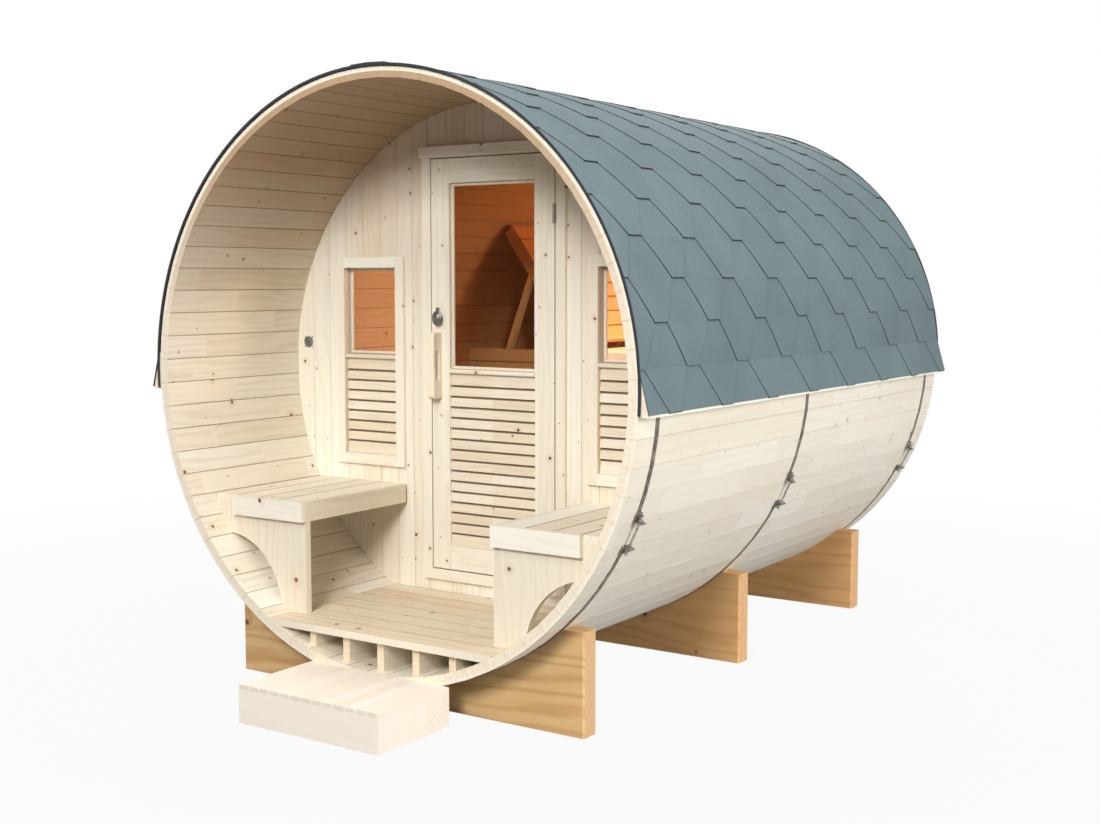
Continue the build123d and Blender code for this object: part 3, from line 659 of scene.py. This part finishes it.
def bronzeGlass(name, through):  # tinted clear glass, glossier towards its edge-on view
    material, shader, start, _ = freshMaterial(name)
    smears = start.noise(start, bronze["smearScale"], 2.0)
    least, more = bronze["rough"]
    feed(shader, Base_Color=smears.tint(bronze["surface"], bronze["smear"]), Roughness=smears * more + least)
    clear = start.tree.nodes.new("ShaderNodeBsdfTransparent")
    clear.inputs[0].default_value = through
    edgeOn = start.add("ShaderNodeLayerWeight", None, {"Blend": bronze["edgeBlend"]})
    blend(start, (edgeOn * bronze["edgeGloss"] + bronze["gloss"]).clamp(), clear, shader)
    return material


# the door's darker tint and the windows' near-clear tint are painted shade and light
dress(bronzeGlass("doorBronzeGlass", bronze["door"]), "door_glass")
dress(bronzeGlass("windowBronzeGlass", bronze["window"]), "window_glass")
print("metals and glass dressed")


feltLook = {
    "granules": 420.0,
    "patches": 5.0,
    "shares": (1.1, 0.45, 0.12),
    "dark": srgb(68, 85, 89),
    "pale": srgb(110, 127, 130),
    "rough": (0.78, 0.2),
    "bump": (0.5, 0.0012),
    "tar": 260.0,
    # the edge colours are tar darkened to near black, a painted shadow line
    "tarAndShadowDark": srgb(7, 8, 11),
    "tarAndShadowPale": srgb(20, 23, 28),
    "tarRough": (0.6, 0.2),
    "tarBump": (0.3, 0.001),
}


def shingleFelt(name):  # mineral granules on felt
    material, shader, start, (x, y, z) = freshMaterial(name)
    granules = start.noise(start, feltLook["granules"], 2.0)
    patches = start.noise(start, feltLook["patches"], 3.0)
    course = ((z - barrel["axis"]).calc("ARCTAN2", abs(x)) - shingles["first"]) / shingles["step"]
    row = course.calc("FLOOR")
    tab = (y / shingles["period"] + row * 0.5).calc("FLOOR")
    tabPlace = start.point(tab, row, 0)
    lots = start.add("ShaderNodeTexWhiteNoise", {"noise_dimensions": "2D"}, {"Vector": tabPlace})
    granuleShare, patchShare, lotShare = feltLook["shares"]
    fade = (granules - 0.5) * granuleShare + (patches - 0.5) * patchShare + (lots - 0.5) * lotShare + 0.5
    least, more = feltLook["rough"]
    colour = fade.clamp().tint(feltLook["dark"], feltLook["pale"])
    feed(shader, Base_Color=colour, Roughness=granules * more + least,
         Normal=bumped(granules, *feltLook["bump"]))
    return material


def tarEdgeAndShadowLine(name):  # the tarred cut edges, darkened to near black as a painted shadow line
    material, shader, start, _ = freshMaterial(name)
    tar = start.noise(start, feltLook["tar"], 2.0)
    least, more = feltLook["tarRough"]
    feed(shader, Base_Color=tar.tint(feltLook["tarAndShadowDark"], feltLook["tarAndShadowPale"]), Roughness=tar * more + least,
         Normal=bumped(tar, *feltLook["tarBump"]))
    return material


mergeDistance = 0.00001
topFacing = 0.9  # a normal with more than this in z looks up


def deselect():
    bpy.ops.object.select_all(action="DESELECT")


def lone(piece):  # only this piece selected and active
    deselect()
    piece.select_set(True)
    bpy.context.view_layer.objects.active = piece


def cube(name, size, place=(0, 0, 0)):  # cube primitive at a size and place, with both applied
    deselect()
    bpy.ops.mesh.primitive_cube_add(size=1, location=place)
    piece = bpy.context.active_object
    piece.name = name
    piece.scale = size
    bpy.ops.object.transform_apply(location=True, rotation=True, scale=True)
    return piece


def pickVerts(piece, test):
    mesh = piece.data
    for part in (mesh.polygons, mesh.edges, mesh.vertices):
        part.foreach_set("select", [False] * len(part))
    for vertex in mesh.vertices:
        vertex.select = test(vertex.co)


def slid(x, y, z):  # an edit-mode move
    return lambda: bpy.ops.transform.translate(value=(x, y, z))


def widened(factor):  # an edit-mode stretch along x
    return lambda: bpy.ops.transform.resize(value=(factor, 1, 1))


def editVerts(piece, test, action):  # runs an edit-mode action on the vertices that pass the test
    lone(piece)
    pickVerts(piece, test)
    bpy.ops.object.mode_set(mode="EDIT")
    bpy.ops.mesh.select_mode(type="VERT")
    action()
    bpy.ops.object.mode_set(mode="OBJECT")


def stamp(model, matrix):  # one copy with its own mesh, put in place
    copy = model.copy()
    copy.data = model.data.copy()
    copy.data.transform(matrix)
    bpy.context.scene.collection.objects.link(copy)
    return copy


def joined(name, pieces):
    deselect()
    for piece in pieces:
        piece.select_set(True)
    bpy.context.view_layer.objects.active = pieces[0]
    bpy.ops.object.join()
    pieces[0].name = name
    return pieces[0]


def cutBeyond(piece, place, normal):  # cuts away what lies beyond the plane and closes the cut
    lone(piece)
    bpy.ops.object.mode_set(mode="EDIT")
    bpy.ops.mesh.select_all(action="SELECT")
    bpy.ops.mesh.bisect(plane_co=place, plane_no=normal, use_fill=True, clear_outer=True)
    bpy.ops.object.mode_set(mode="OBJECT")


def closeShape(piece):  # merges doubles, closes holes and turns the faces outwards
    lone(piece)
    bpy.ops.object.mode_set(mode="EDIT")
    bpy.ops.mesh.select_all(action="SELECT")
    bpy.ops.mesh.remove_doubles(threshold=mergeDistance)
    bpy.ops.mesh.fill_holes(sides=0)
    bpy.ops.mesh.select_all(action="SELECT")
    bpy.ops.mesh.normals_make_consistent(inside=False)
    bpy.ops.object.mode_set(mode="OBJECT")


def edgeFaces(piece):  # every face but the top gets the second material
    for face in piece.data.polygons:
        face.material_index = 0 if face.normal.z > topFacing else 1


shingles = {
    "deck": 1.0021,
    "first": radians(4.0107),
    "step": radians(7.7063),
    "courses": 11,
    "period": 0.333,
    "flat": 0.075,
    "wide": 0.257,
    "starts": (0.315, 0.15),
    "height": 0.1352,
    "lift": 0.0065,
    "sink": 0.0034,
    "overhang": 0.005,
    "eaveFoot": (1.0347, 1.0291),
    "eaveTop": (1.0019, 1.1572),
    "eaveLift": 0.0055,
    "bendShares": (-0.5, 0.0, 0.5),
    "bendNear": 0.004,
    "slant": 0.002,
    "spread": 1.024,
    "toe": 0.0024,
    "blank": 0.006,
    "under": 0.0038,
    "strip": 0.003,
    "stripFoot": 0.0005,
    "stripTop": -0.0015,
    "smooth": radians(20),
}

shingleTop, shingleEdgeAndShadowLine = shingleFelt("shingleGranules"), tarEdgeAndShadowLine("shingleEdgeAndShadowLine")


def bent(piece, radius):  # cuts a flat model across and lowers its ends, so that it follows the barrel
    half = shingles["height"] / 2
    lone(piece)
    bpy.ops.object.mode_set(mode="EDIT")
    for share in shingles["bendShares"]:
        bpy.ops.mesh.select_all(action="SELECT")
        bpy.ops.mesh.bisect(plane_co=(0, share * half, 0), plane_no=(0, 1, 0))
    bpy.ops.object.mode_set(mode="OBJECT")
    for share in (-1.0, 1.0) + shingles["bendShares"]:
        drop = (share * half) ** 2 / (2 * radius)
        editVerts(piece, lambda co: abs(co.y - share * half) < shingles["bendNear"], slid(0, 0, -drop))
    return piece


def tabModel():  # one hexagonal tab, lying flat: x along the barrel, y up the slope, z out of the roof
    look = shingles
    half = look["blank"] / 2
    tab = cube("shingleTab", (look["wide"], look["height"], look["blank"]))
    editVerts(tab, lambda co: co.y < 0, widened(look["flat"] / look["wide"]))
    editVerts(tab, lambda co: co.y < 0 and co.z > 0, slid(0, 0, look["lift"] - half))
    editVerts(tab, lambda co: co.y > 0 and co.z > 0, slid(0, 0, look["sink"] - half))
    editVerts(tab, lambda co: co.z < 0, slid(0, 0, look["under"]))
    # the tab's foot is splayed outwards, so that its dark edge shows from above as a painted shadow line
    # round the tab
    editVerts(tab, lambda co: co.z < look["slant"], widened(look["spread"]))
    editVerts(tab, lambda co: co.z < look["slant"] and co.y < 0, slid(0, -look["toe"], 0))
    return tab


def felt(model):  # granules on top, tar darkened as a painted shadow line on the edges
    model.data.materials.append(shingleTop)
    model.data.materials.append(shingleEdgeAndShadowLine)
    edgeFaces(model)


def stripModel(length):  # the body of a course under the tabs of the next one
    look = shingles
    half = look["strip"] / 2
    strip = cube("shingleStrip", (length, look["height"], look["strip"]), (0, 0, half))
    editVerts(strip, lambda co: co.y < 0 and co.z > half, slid(0, 0, look["stripFoot"]))
    editVerts(strip, lambda co: co.y > 0 and co.z > half, slid(0, 0, look["stripTop"]))
    return strip


def slopeMatrix(side, centre, up, y):  # lays a model on the slope of one side
    out = Vector((up[1], 0, -up[0]))
    climb = Vector((up[0], 0, up[1]))
    place = Vector((centre[0], y, centre[1]))
    width = Vector((0, 1, 0))
    if side < 0:
        out.x, climb.x, place.x, width.y = -out.x, -climb.x, -place.x, -1
    turn = Matrix((width, climb, out)).transposed().to_4x4()
    return Matrix.Translation(place) @ turn


def roofSide(name, side, node):
    look = shingles
    length = barrel["rear"] - barrel["front"] + 2 * look["overhang"]
    middle = (barrel["rear"] + barrel["front"]) / 2
    flatModels = tabModel(), stripModel(length)
    bentModels = bent(tabModel(), look["deck"]), bent(stripModel(length), look["deck"])
    for model in flatModels + bentModels:
        felt(model)
    zones = []
    for course in range(look["courses"]):
        turn = look["first"] + (course + 0.5) * look["step"]
        centre = (look["deck"] * cos(turn), barrel["axis"] + look["deck"] * sin(turn))
        zones.append((centre, (-sin(turn), cos(turn)), look["starts"][course % 2], 1.0, 1.0, bentModels))
    foot, top = Vector(look["eaveFoot"]), Vector(look["eaveTop"])
    climb = top - foot
    zones.append((tuple((foot + top) / 2), tuple(climb.normalized()), look["starts"][1],
                  climb.length / look["height"], look["eaveLift"] / look["lift"], flatModels))
    pieces = []
    for centre, up, start, stretch, thin, (tab, strip) in zones:
        fit = Matrix.Diagonal((1, stretch, thin, 1))
        pieces.append(stamp(strip, slopeMatrix(side, centre, up, middle) @ fit))
        y = barrel["front"] + start - look["period"]
        while y < barrel["rear"] + look["wide"]:
            pieces.append(stamp(tab, slopeMatrix(side, centre, up, y) @ fit))
            y += look["period"]
    for model in flatModels + bentModels:
        bpy.data.objects.remove(model)
    roof = joined(name, pieces)
    cutBeyond(roof, (0, barrel["rear"] + look["overhang"], 0), (0, 1, 0))
    cutBeyond(roof, (0, barrel["front"] - look["overhang"], 0), (0, -1, 0))
    lone(roof)
    bpy.ops.object.shade_smooth_by_angle(angle=shingles["smooth"])
    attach(roof, "sauna")
    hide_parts(node)
    return roof


roofSide("shinglesRight", 1, "roof_right")
roofSide("shinglesLeft", -1, "roof_left")

drip = {
    "inner": 1.0006,
    "outer": 1.0092,
    "front": 0.0074,
    "depth": 0.0022,
    "low": radians(-3.4),
    "parts": 96,
}


def dripEdge(name, end, inwards):  # thin dark strip round the roof's end, spun from one profile
    deselect()
    middleY = end + inwards * (drip["depth"] / 2 - drip["front"])
    axisPlace = (0, 0, barrel["axis"])
    bpy.ops.mesh.primitive_plane_add(size=1)
    strip = bpy.context.active_object
    strip.name = name
    lone(strip)
    bpy.ops.object.mode_set(mode="EDIT")
    bpy.ops.mesh.select_all(action="SELECT")
    bpy.ops.transform.resize(value=(drip["outer"] - drip["inner"], drip["depth"], 1))
    bpy.ops.transform.translate(value=((drip["outer"] + drip["inner"]) / 2, middleY, barrel["axis"]))
    bpy.ops.transform.rotate(value=drip["low"], orient_axis="Y", center_override=axisPlace)
    bpy.ops.mesh.spin(steps=drip["parts"], angle=pi - 2 * drip["low"], center=axisPlace, axis=(0, 1, 0))
    bpy.ops.object.mode_set(mode="OBJECT")
    closeShape(strip)
    strip.data.materials.append(shingleEdgeAndShadowLine)
    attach(strip, "sauna")


dripEdge("dripEdgeFront", barrel["front"], 1)
dripEdge("dripEdgeRear", barrel["rear"], -1)

ridge = {
    "width": 0.18,
    "length": 0.32,
    "exposure": 0.2515,
    "first": 0.1,
    "low": 2.0945,
    "thick": 0.0035,
    "lift": 0.0028,
    "taper": 0.72,
    "crease": 0.01,
    "fall": 0.003,
}


def ridgeCaps():  # lapped caps, creased along the ridge
    cap = cube("ridgeCap", (ridge["width"], ridge["length"], ridge["thick"]), (0, 0, ridge["thick"] / 2))
    editVerts(cap, lambda co: co.y < 0, widened(ridge["taper"]))
    lone(cap)
    bpy.ops.object.mode_set(mode="EDIT")
    bpy.ops.mesh.select_all(action="SELECT")
    bpy.ops.mesh.bisect(plane_co=(0, 0, 0), plane_no=(1, 0, 0))
    bpy.ops.object.mode_set(mode="OBJECT")
    editVerts(cap, lambda co: abs(co.x) > ridge["crease"], slid(0, 0, -ridge["fall"]))
    editVerts(cap, lambda co: co.y < 0, slid(0, 0, ridge["lift"]))
    felt(cap)
    pieces = []
    y = barrel["front"] + ridge["first"]
    while y < barrel["rear"]:
        pieces.append(stamp(cap, Matrix.Translation((0, y, ridge["low"]))))
        y += ridge["exposure"]
    bpy.data.objects.remove(cap)
    caps = joined("shinglesRidge", pieces)
    cutBeyond(caps, (0, barrel["rear"] + shingles["overhang"], 0), (0, 1, 0))
    cutBeyond(caps, (0, barrel["front"] - shingles["overhang"], 0), (0, -1, 0))
    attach(caps, "sauna")
    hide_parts("roof_ridge")


ridgeCaps()
print("roof shingled")

door, body = "door", "sauna"
outwards = Matrix.Rotation(radians(90), 4, "X")  # turns a model's +z towards the porch's front
seatGap = 0.0003  # between a fitting and what it sits on
roundAngle = radians(35)


def turned(name, profile, sides):  # round form drawn out ring by ring from a disc: (radius, height) pairs
    deselect()
    radius, height = profile[0]
    place = (0, 0, height)
    bpy.ops.mesh.primitive_circle_add(vertices=sides, radius=radius, fill_type="NGON", location=place)
    form = bpy.context.active_object
    form.name = name
    bpy.ops.object.transform_apply(location=True)
    bpy.ops.object.mode_set(mode="EDIT")
    bpy.ops.mesh.select_all(action="SELECT")
    for wider, higher in profile[1:]:
        bpy.ops.mesh.extrude_region_move(TRANSFORM_OT_translate={"value": (0, 0, higher - height)})
        bpy.ops.transform.resize(value=(wider / radius, wider / radius, 1))
        radius, height = wider, higher
    bpy.ops.object.mode_set(mode="OBJECT")
    closeShape(form)
    return form


def softened(piece, width, segments=2):  # rounds a piece's edges
    lone(piece)
    bevel = piece.modifiers.new("soften", "BEVEL")
    bevel.width = width
    bevel.segments = segments
    bevel.limit_method = "ANGLE"
    bpy.ops.object.modifier_apply(modifier="soften")
    return piece


def settled(piece, material, rider, slot, *replaced):  # smooths, dresses and binds a finished piece
    lone(piece)
    bpy.ops.object.shade_smooth_by_angle(angle=roundAngle)
    piece.data.materials.clear()
    piece.data.materials.append(material)
    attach(piece, rider)
    if replaced:
        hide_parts(*replaced)
    return piece


screw = {"profile": [(0.0042, 0.0), (0.0042, 0.0007), (0.003, 0.0013), (0.0013, 0.0008)], "sides": 10}


def screws(name, matrices, rider):
    head = turned("screwHead", screw["profile"], screw["sides"])
    copies = [stamp(head, matrix) for matrix in matrices]
    bpy.data.objects.remove(head)
    settled(joined(name, copies), galvanisedSteel, rider, "steel")


latch = {
    "knob": [
        (0.42, 0.0), (0.42, 0.005), (0.86, 0.0085), (1.0, 0.012), (0.97, 0.0145), (0.82, 0.0165),
        (0.74, 0.0158), (0.62, 0.0185), (0.4, 0.0212), (0.3, 0.0205), (0.18, 0.0232),
    ],
    "knobSides": 30,
    "knobRise": 0.027,
    "half": (0.022, 0.027),
    "plate": (0.018, 0.004, 0.052),
    "plateAside": 0.008,
    "taper": 0.8,
    "soften": 0.0012,
    "rivet": [(0.0035, 0.0), (0.0035, 0.0012), (0.0018, 0.0022)],
    "rivetSides": 14,
    "rivetDrop": 0.009,
}


def latchKnob():  # oval knob on a tapered plate with a rivet
    low, high = (Vector(corner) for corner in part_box("door_latch"))
    thick, tall = latch["plate"][1:]
    plateFace = barrel["doorFace"] - seatGap - thick
    middle = Vector((high.x - latch["half"][0], plateFace, low.z + latch["knobRise"]))
    knob = turned("latchKnob", latch["knob"], latch["knobSides"])
    shape = Matrix.Diagonal((latch["half"][0], latch["half"][1], 1, 1))
    pieces = [stamp(knob, Matrix.Translation(middle) @ outwards @ shape)]
    plateX = middle.x - latch["plateAside"]
    plate = cube("latchPlate", latch["plate"], (plateX, plateFace + thick / 2, 0))
    editVerts(plate, lambda co: co.z > 0, widened(latch["taper"]))
    softened(plate, latch["soften"], 3)
    pieces.append(stamp(plate, Matrix.Translation((0, 0, high.z - tall / 2))))
    rivet = turned("latchRivet", latch["rivet"], latch["rivetSides"])
    spot = (plateX, plateFace, high.z - latch["rivetDrop"])
    pieces.append(stamp(rivet, Matrix.Translation(spot) @ outwards))
    for spare in (knob, plate, rivet):
        bpy.data.objects.remove(spare)
    settled(joined("latchSet", pieces), pewter, door, "steel", "door_latch")


vent = {
    "profile": [
        (0.022, 0.0), (0.022, 0.003), (0.0205, 0.0062), (0.0185, 0.0072), (0.0168, 0.0062), (0.0158, 0.003),
        (0.0125, 0.003), (0.0115, 0.005), (0.0095, 0.005), (0.0085, 0.0028), (0.006, 0.0028), (0.005, 0.0056),
        (0.0022, 0.0066),
    ],
    "sides": 32,
    "screwRing": 0.0275,
    "screwTurns": (pi / 4, pi * 3 / 4, pi * 5 / 4, pi * 7 / 4),
    "screwSize": (0.7, 0.7, 0.8, 1),
}


def airVent():  # round rosette with four screws about it
    low, high = (Vector(corner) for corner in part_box("wall_vent"))
    middle = Vector(((low.x + high.x) / 2, barrel["wallFront"] - seatGap, (low.z + high.z) / 2))
    rosette = turned("airVent", vent["profile"], vent["sides"])
    piece = stamp(rosette, Matrix.Translation(middle) @ outwards)
    bpy.data.objects.remove(rosette)
    piece.name = "airVent"
    settled(piece, galvanisedSteel, body, "steel", "wall_vent")
    places = []
    for turn in vent["screwTurns"]:
        spot = middle + Vector((cos(turn), 0, sin(turn))) * vent["screwRing"]
        places.append(Matrix.Translation(spot) @ outwards @ Matrix.Diagonal(vent["screwSize"]))
    screws("ventScrews", places, body)


tightener = {
    "angle": radians(25.0),
    "half": radians(2.5),
    "seat": 1.0021,
    "flange": (0.026, 0.034, 0.004),
    "soften": 0.0012,
    "foot": 0.026,
    "rodOut": 1.01414,
    "rodHalf": 0.071,
    "rod": (0.004, 0.0034),
    "rodSides": 12,
    "thread": 0.0016,
    "nutStart": 0.04697,
    "nut": [(0.0066, 0.0), (0.008, 0.0012), (0.008, 0.0068), (0.0066, 0.008)],
    "nutSides": 6,
    "bands": (-0.9674, 0.098, 1.303),
}


def tightenerModel():  # lugs, threaded rod and nuts: x out of the barrel, z up the strap
    look = tightener
    wide, _, thick = look["flange"]
    lug = cube("lug", look["flange"], (wide / 2, 0, 0))
    lone(lug)
    for face in lug.data.polygons:
        face.select = face.normal.z > topFacing
    bpy.ops.object.mode_set(mode="EDIT")
    bpy.ops.mesh.select_mode(type="FACE")
    bpy.ops.mesh.bisect(plane_co=(thick, 0, 0), plane_no=(1, 0, 0))
    bpy.ops.object.mode_set(mode="OBJECT")
    for face in lug.data.polygons:
        face.select = face.normal.z > topFacing and face.center.x < thick
    bpy.ops.object.mode_set(mode="EDIT")
    bpy.ops.mesh.extrude_region_move(TRANSFORM_OT_translate={"value": (0, 0, look["foot"])})
    bpy.ops.object.mode_set(mode="OBJECT")
    closeShape(lug)
    softened(lug, look["soften"])
    seat = Matrix.Translation((look["seat"], 0, 0))
    upsideDown = Matrix.Diagonal((1, 1, -1, 1))
    pieces = [
        stamp(lug, Matrix.Rotation(-look["half"], 4, "Y") @ seat),
        stamp(lug, Matrix.Rotation(look["half"], 4, "Y") @ seat @ upsideDown),
    ]
    crest, root = look["rod"]
    profile = []
    for ring in range(int(2 * look["rodHalf"] / look["thread"]) + 1):
        profile.append((root if ring % 2 else crest, ring * look["thread"] - look["rodHalf"]))
    rod = turned("tieRod", profile, look["rodSides"])
    nut = turned("tieNut", look["nut"], look["nutSides"])
    nutHeight = look["nut"][-1][1]
    out = Matrix.Translation((look["rodOut"], 0, 0))
    pieces.append(stamp(rod, out))
    pieces.append(stamp(nut, out @ Matrix.Translation((0, 0, look["nutStart"]))))
    pieces.append(stamp(nut, out @ Matrix.Translation((0, 0, -look["nutStart"] - nutHeight))))
    for spare in (lug, rod, nut):
        bpy.data.objects.remove(spare)
    return joined("tightener", pieces)


def tighteners():  # one on each side of every band
    model = tightenerModel()
    pieces = []
    for y in tightener["bands"]:
        for side in (1, -1):
            place = Matrix.Translation((0, y, barrel["axis"])) @ Matrix.Diagonal((side, 1, 1, 1))
            pieces.append(stamp(model, place @ Matrix.Rotation(tightener["angle"], 4, "Y")))
    bpy.data.objects.remove(model)
    allOfThem = joined("tighteners", pieces)
    closeShape(allOfThem)
    settled(allOfThem, galvanisedSteel, body, "steel", "band_tighteners")


bead = {
    "width": 0.011,
    "deep": 0.0105,
    "short": 0.001,
    "aside": 0.0005,
    "soften": 0.003,
    "windowInner": 0.4503,
}


def glazingBeads(name, xEnds, zEnds, glassFront, rider):  # four slim beads round a pane, before the glass
    (xLow, xHigh), (zLow, zHigh) = xEnds, zEnds
    wide, deep, aside = bead["width"], bead["deep"], bead["aside"]
    y = glassFront - seatGap - deep / 2
    lying = (xHigh - xLow - bead["short"], deep, wide)
    upright = (wide, deep, zHigh - zLow - 2 * wide - bead["short"])
    spans = [
        (lying, ((xLow + xHigh) / 2, y, zLow + wide / 2 + seatGap)),
        (lying, ((xLow + xHigh) / 2, y, zHigh - wide / 2 - seatGap)),
        (upright, (xLow + wide / 2 + aside, y, (zLow + zHigh) / 2)),
        (upright, (xHigh - wide / 2 - aside, y, (zLow + zHigh) / 2)),
    ]
    strips = [softened(cube("beadStrip", size, place), bead["soften"], 3) for size, place in spans]
    return settled(joined(name, strips), beadWood, rider, "spruce")


tongue = {"joints": 22, "wide": 0.008, "thick": 0.006, "radius": 0.93, "soften": 0.001}


def wallTongues():  # the back wall's boards are tongued together, so no light comes through the joints
    low, high = (Vector(corner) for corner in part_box("back_wall"))
    first, pitch = boards["backWall"]
    strips = []
    for joint in range(tongue["joints"]):
        x = first + joint * pitch
        if abs(x) < tongue["radius"]:
            tall = 2 * sqrt(tongue["radius"] ** 2 - x * x)
            size = (tongue["wide"], tongue["thick"], tall)
            strip = cube("tongueStrip", size, (x, (low.y + high.y) / 2, barrel["axis"]))
            strips.append(softened(strip, tongue["soften"]))
    settled(joined("wallTongues", strips), beadWood, body, "spruce")


beadWood = boardWood("beadSpruce", dict(doorSpruce, knots=0.03), sidedBoards)
wallTongues()
latchKnob()
airVent()
tighteners()
doorGlass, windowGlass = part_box("door_glass"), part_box("window_glass")
(left, face, low), (right, _, high) = doorGlass
glazingBeads("doorBeads", (left, right), (low, high), face, door)
(_, face, low), (right, _, high) = windowGlass
for side, word in ((1, "Right"), (-1, "Left")):
    ends = sorted((side * bead["windowInner"], side * right))
    glazingBeads("windowBeads" + word, ends, (low, high), face, body)
print("fittings made")

studio = {
    "eye": (3.0753, -4.6257, 1.4149),
    "tilt": (radians(90 - 5.235), 0, radians(33.893)),
    "lens": 47.28,
    "world": 0.16,
    "lamps": [
        ("keyLamp", (2.6, -8.2, 5.0), (0.0, -0.4, 0.9), 2.2, 650),
        ("porchLamp", (0.6, -4.4, 5.8), (0.0, -0.7, 0.4), 1.6, 105),
        ("fillLamp", (7.5, -0.8, 2.4), (0.0, 0.2, 0.7), 4.0, 430),
        ("topLamp", (1.5, 1.5, 7.0), (0.0, 0.2, 1.0), 5.0, 120),
        ("rearLamp", (-2.5, 8.5, 4.2), (0.0, 1.4, 1.0), 3.0, 380),
        ("leftLamp", (-7.5, 1.2, 2.8), (0.0, 0.4, 0.9), 4.0, 300),
    ],
    "cabinGlow": ((0.55, 1.08, 1.6), 36, (1.0, 0.93, 0.82)),
    "benchSpot": ((0.35, -0.25, 1.9), (-0.35, 0.8, 1.08), radians(42), 68),
    "spotBlend": 0.6,
    "softRadius": {"cabinGlow": 0.07, "benchSpot": 0.05},
    "floorSize": 60,
    "floorDrop": -0.001,
    "floorGrey": (0.14, 0.14, 0.14, 1),
    "floorRough": 0.9,
    "floorLit": 0.94,
    "fadeStart": 2.0,
    "fadeRun": 3.0,
}


def aim(place, target):
    return (Vector(target) - Vector(place)).to_track_quat("-Z", "Y").to_euler()


def hungLamp(name, kind, place, power, **settings):
    data = bpy.data.lights.new(name, kind)
    data.energy = power
    for key, value in settings.items():
        setattr(data, key, value)
    lamp = bpy.data.objects.new(name, data)
    lamp.location = place
    bpy.context.scene.collection.objects.link(lamp)
    return lamp


def studioSet():  # camera as in the photo, soft lamps round about and two in the cabin
    cameraData = bpy.data.cameras.new("camera")
    cameraData.lens = studio["lens"]
    cameraData.sensor_width = 36
    camera = bpy.data.objects.new("camera", cameraData)
    camera.location = studio["eye"]
    camera.rotation_euler = studio["tilt"]
    bpy.context.scene.collection.objects.link(camera)
    bpy.context.scene.camera = camera
    for name, place, target, size, power in studio["lamps"]:
        lamp = hungLamp(name, "AREA", place, power, size=size)
        lamp.rotation_euler = aim(place, target)
    soft = studio["softRadius"]
    place, power, colour = studio["cabinGlow"]
    glow = hungLamp("cabinGlow", "POINT", place, power, color=colour, shadow_soft_size=soft["cabinGlow"])
    glow.visible_camera = False
    place, target, cone, power = studio["benchSpot"]
    spot = hungLamp("benchSpot", "SPOT", place, power, spot_size=cone, spot_blend=studio["spotBlend"],
                    shadow_soft_size=soft["benchSpot"])
    spot.rotation_euler = aim(place, target)


def seenDirectly(start):  # camera, mirror and glass rays
    path = start.add("ShaderNodeLightPath")
    return (path + path.also("Is Glossy Ray") + path.also("Is Transmission Ray")).clamp()


def studioWorld():
    world = bpy.data.worlds.new("studio")
    bpy.context.scene.world = world
    world.use_nodes = True
    background = world.node_tree.nodes["Background"]
    background.inputs[0].default_value = (1, 1, 1, 1)
    start = Flow(world.node_tree, background.outputs[0])
    seen = seenDirectly(start)
    strength = seen * (1 - studio["world"]) + studio["world"]
    world.node_tree.links.new(strength.socket, background.inputs[1])


def paleFloor():  # white to the eye, with a faint shadow near the object
    deselect()
    bpy.ops.mesh.primitive_plane_add(size=studio["floorSize"], location=(0, 0, studio["floorDrop"]))
    ground = bpy.context.active_object
    ground.name = "paleFloor"
    bpy.ops.object.transform_apply(location=True)
    material, shader, start, (x, y, _) = freshMaterial("paleFloor")
    feed(shader, Base_Color=studio["floorGrey"], Roughness=studio["floorRough"])
    bright = start.tree.nodes.new("ShaderNodeEmission")
    away = (((x * x + y * y) ** 0.5 - studio["fadeStart"]) / studio["fadeRun"]).clamp()
    lit = studio["floorLit"]
    blend(start, seenDirectly(start) * (away * (1 - lit) + lit), shader, bright)
    ground.data.materials.append(material)


studioSet()
studioWorld()
paleFloor()
bpy.context.scene.view_settings.view_transform = "Standard"
print("studio set")
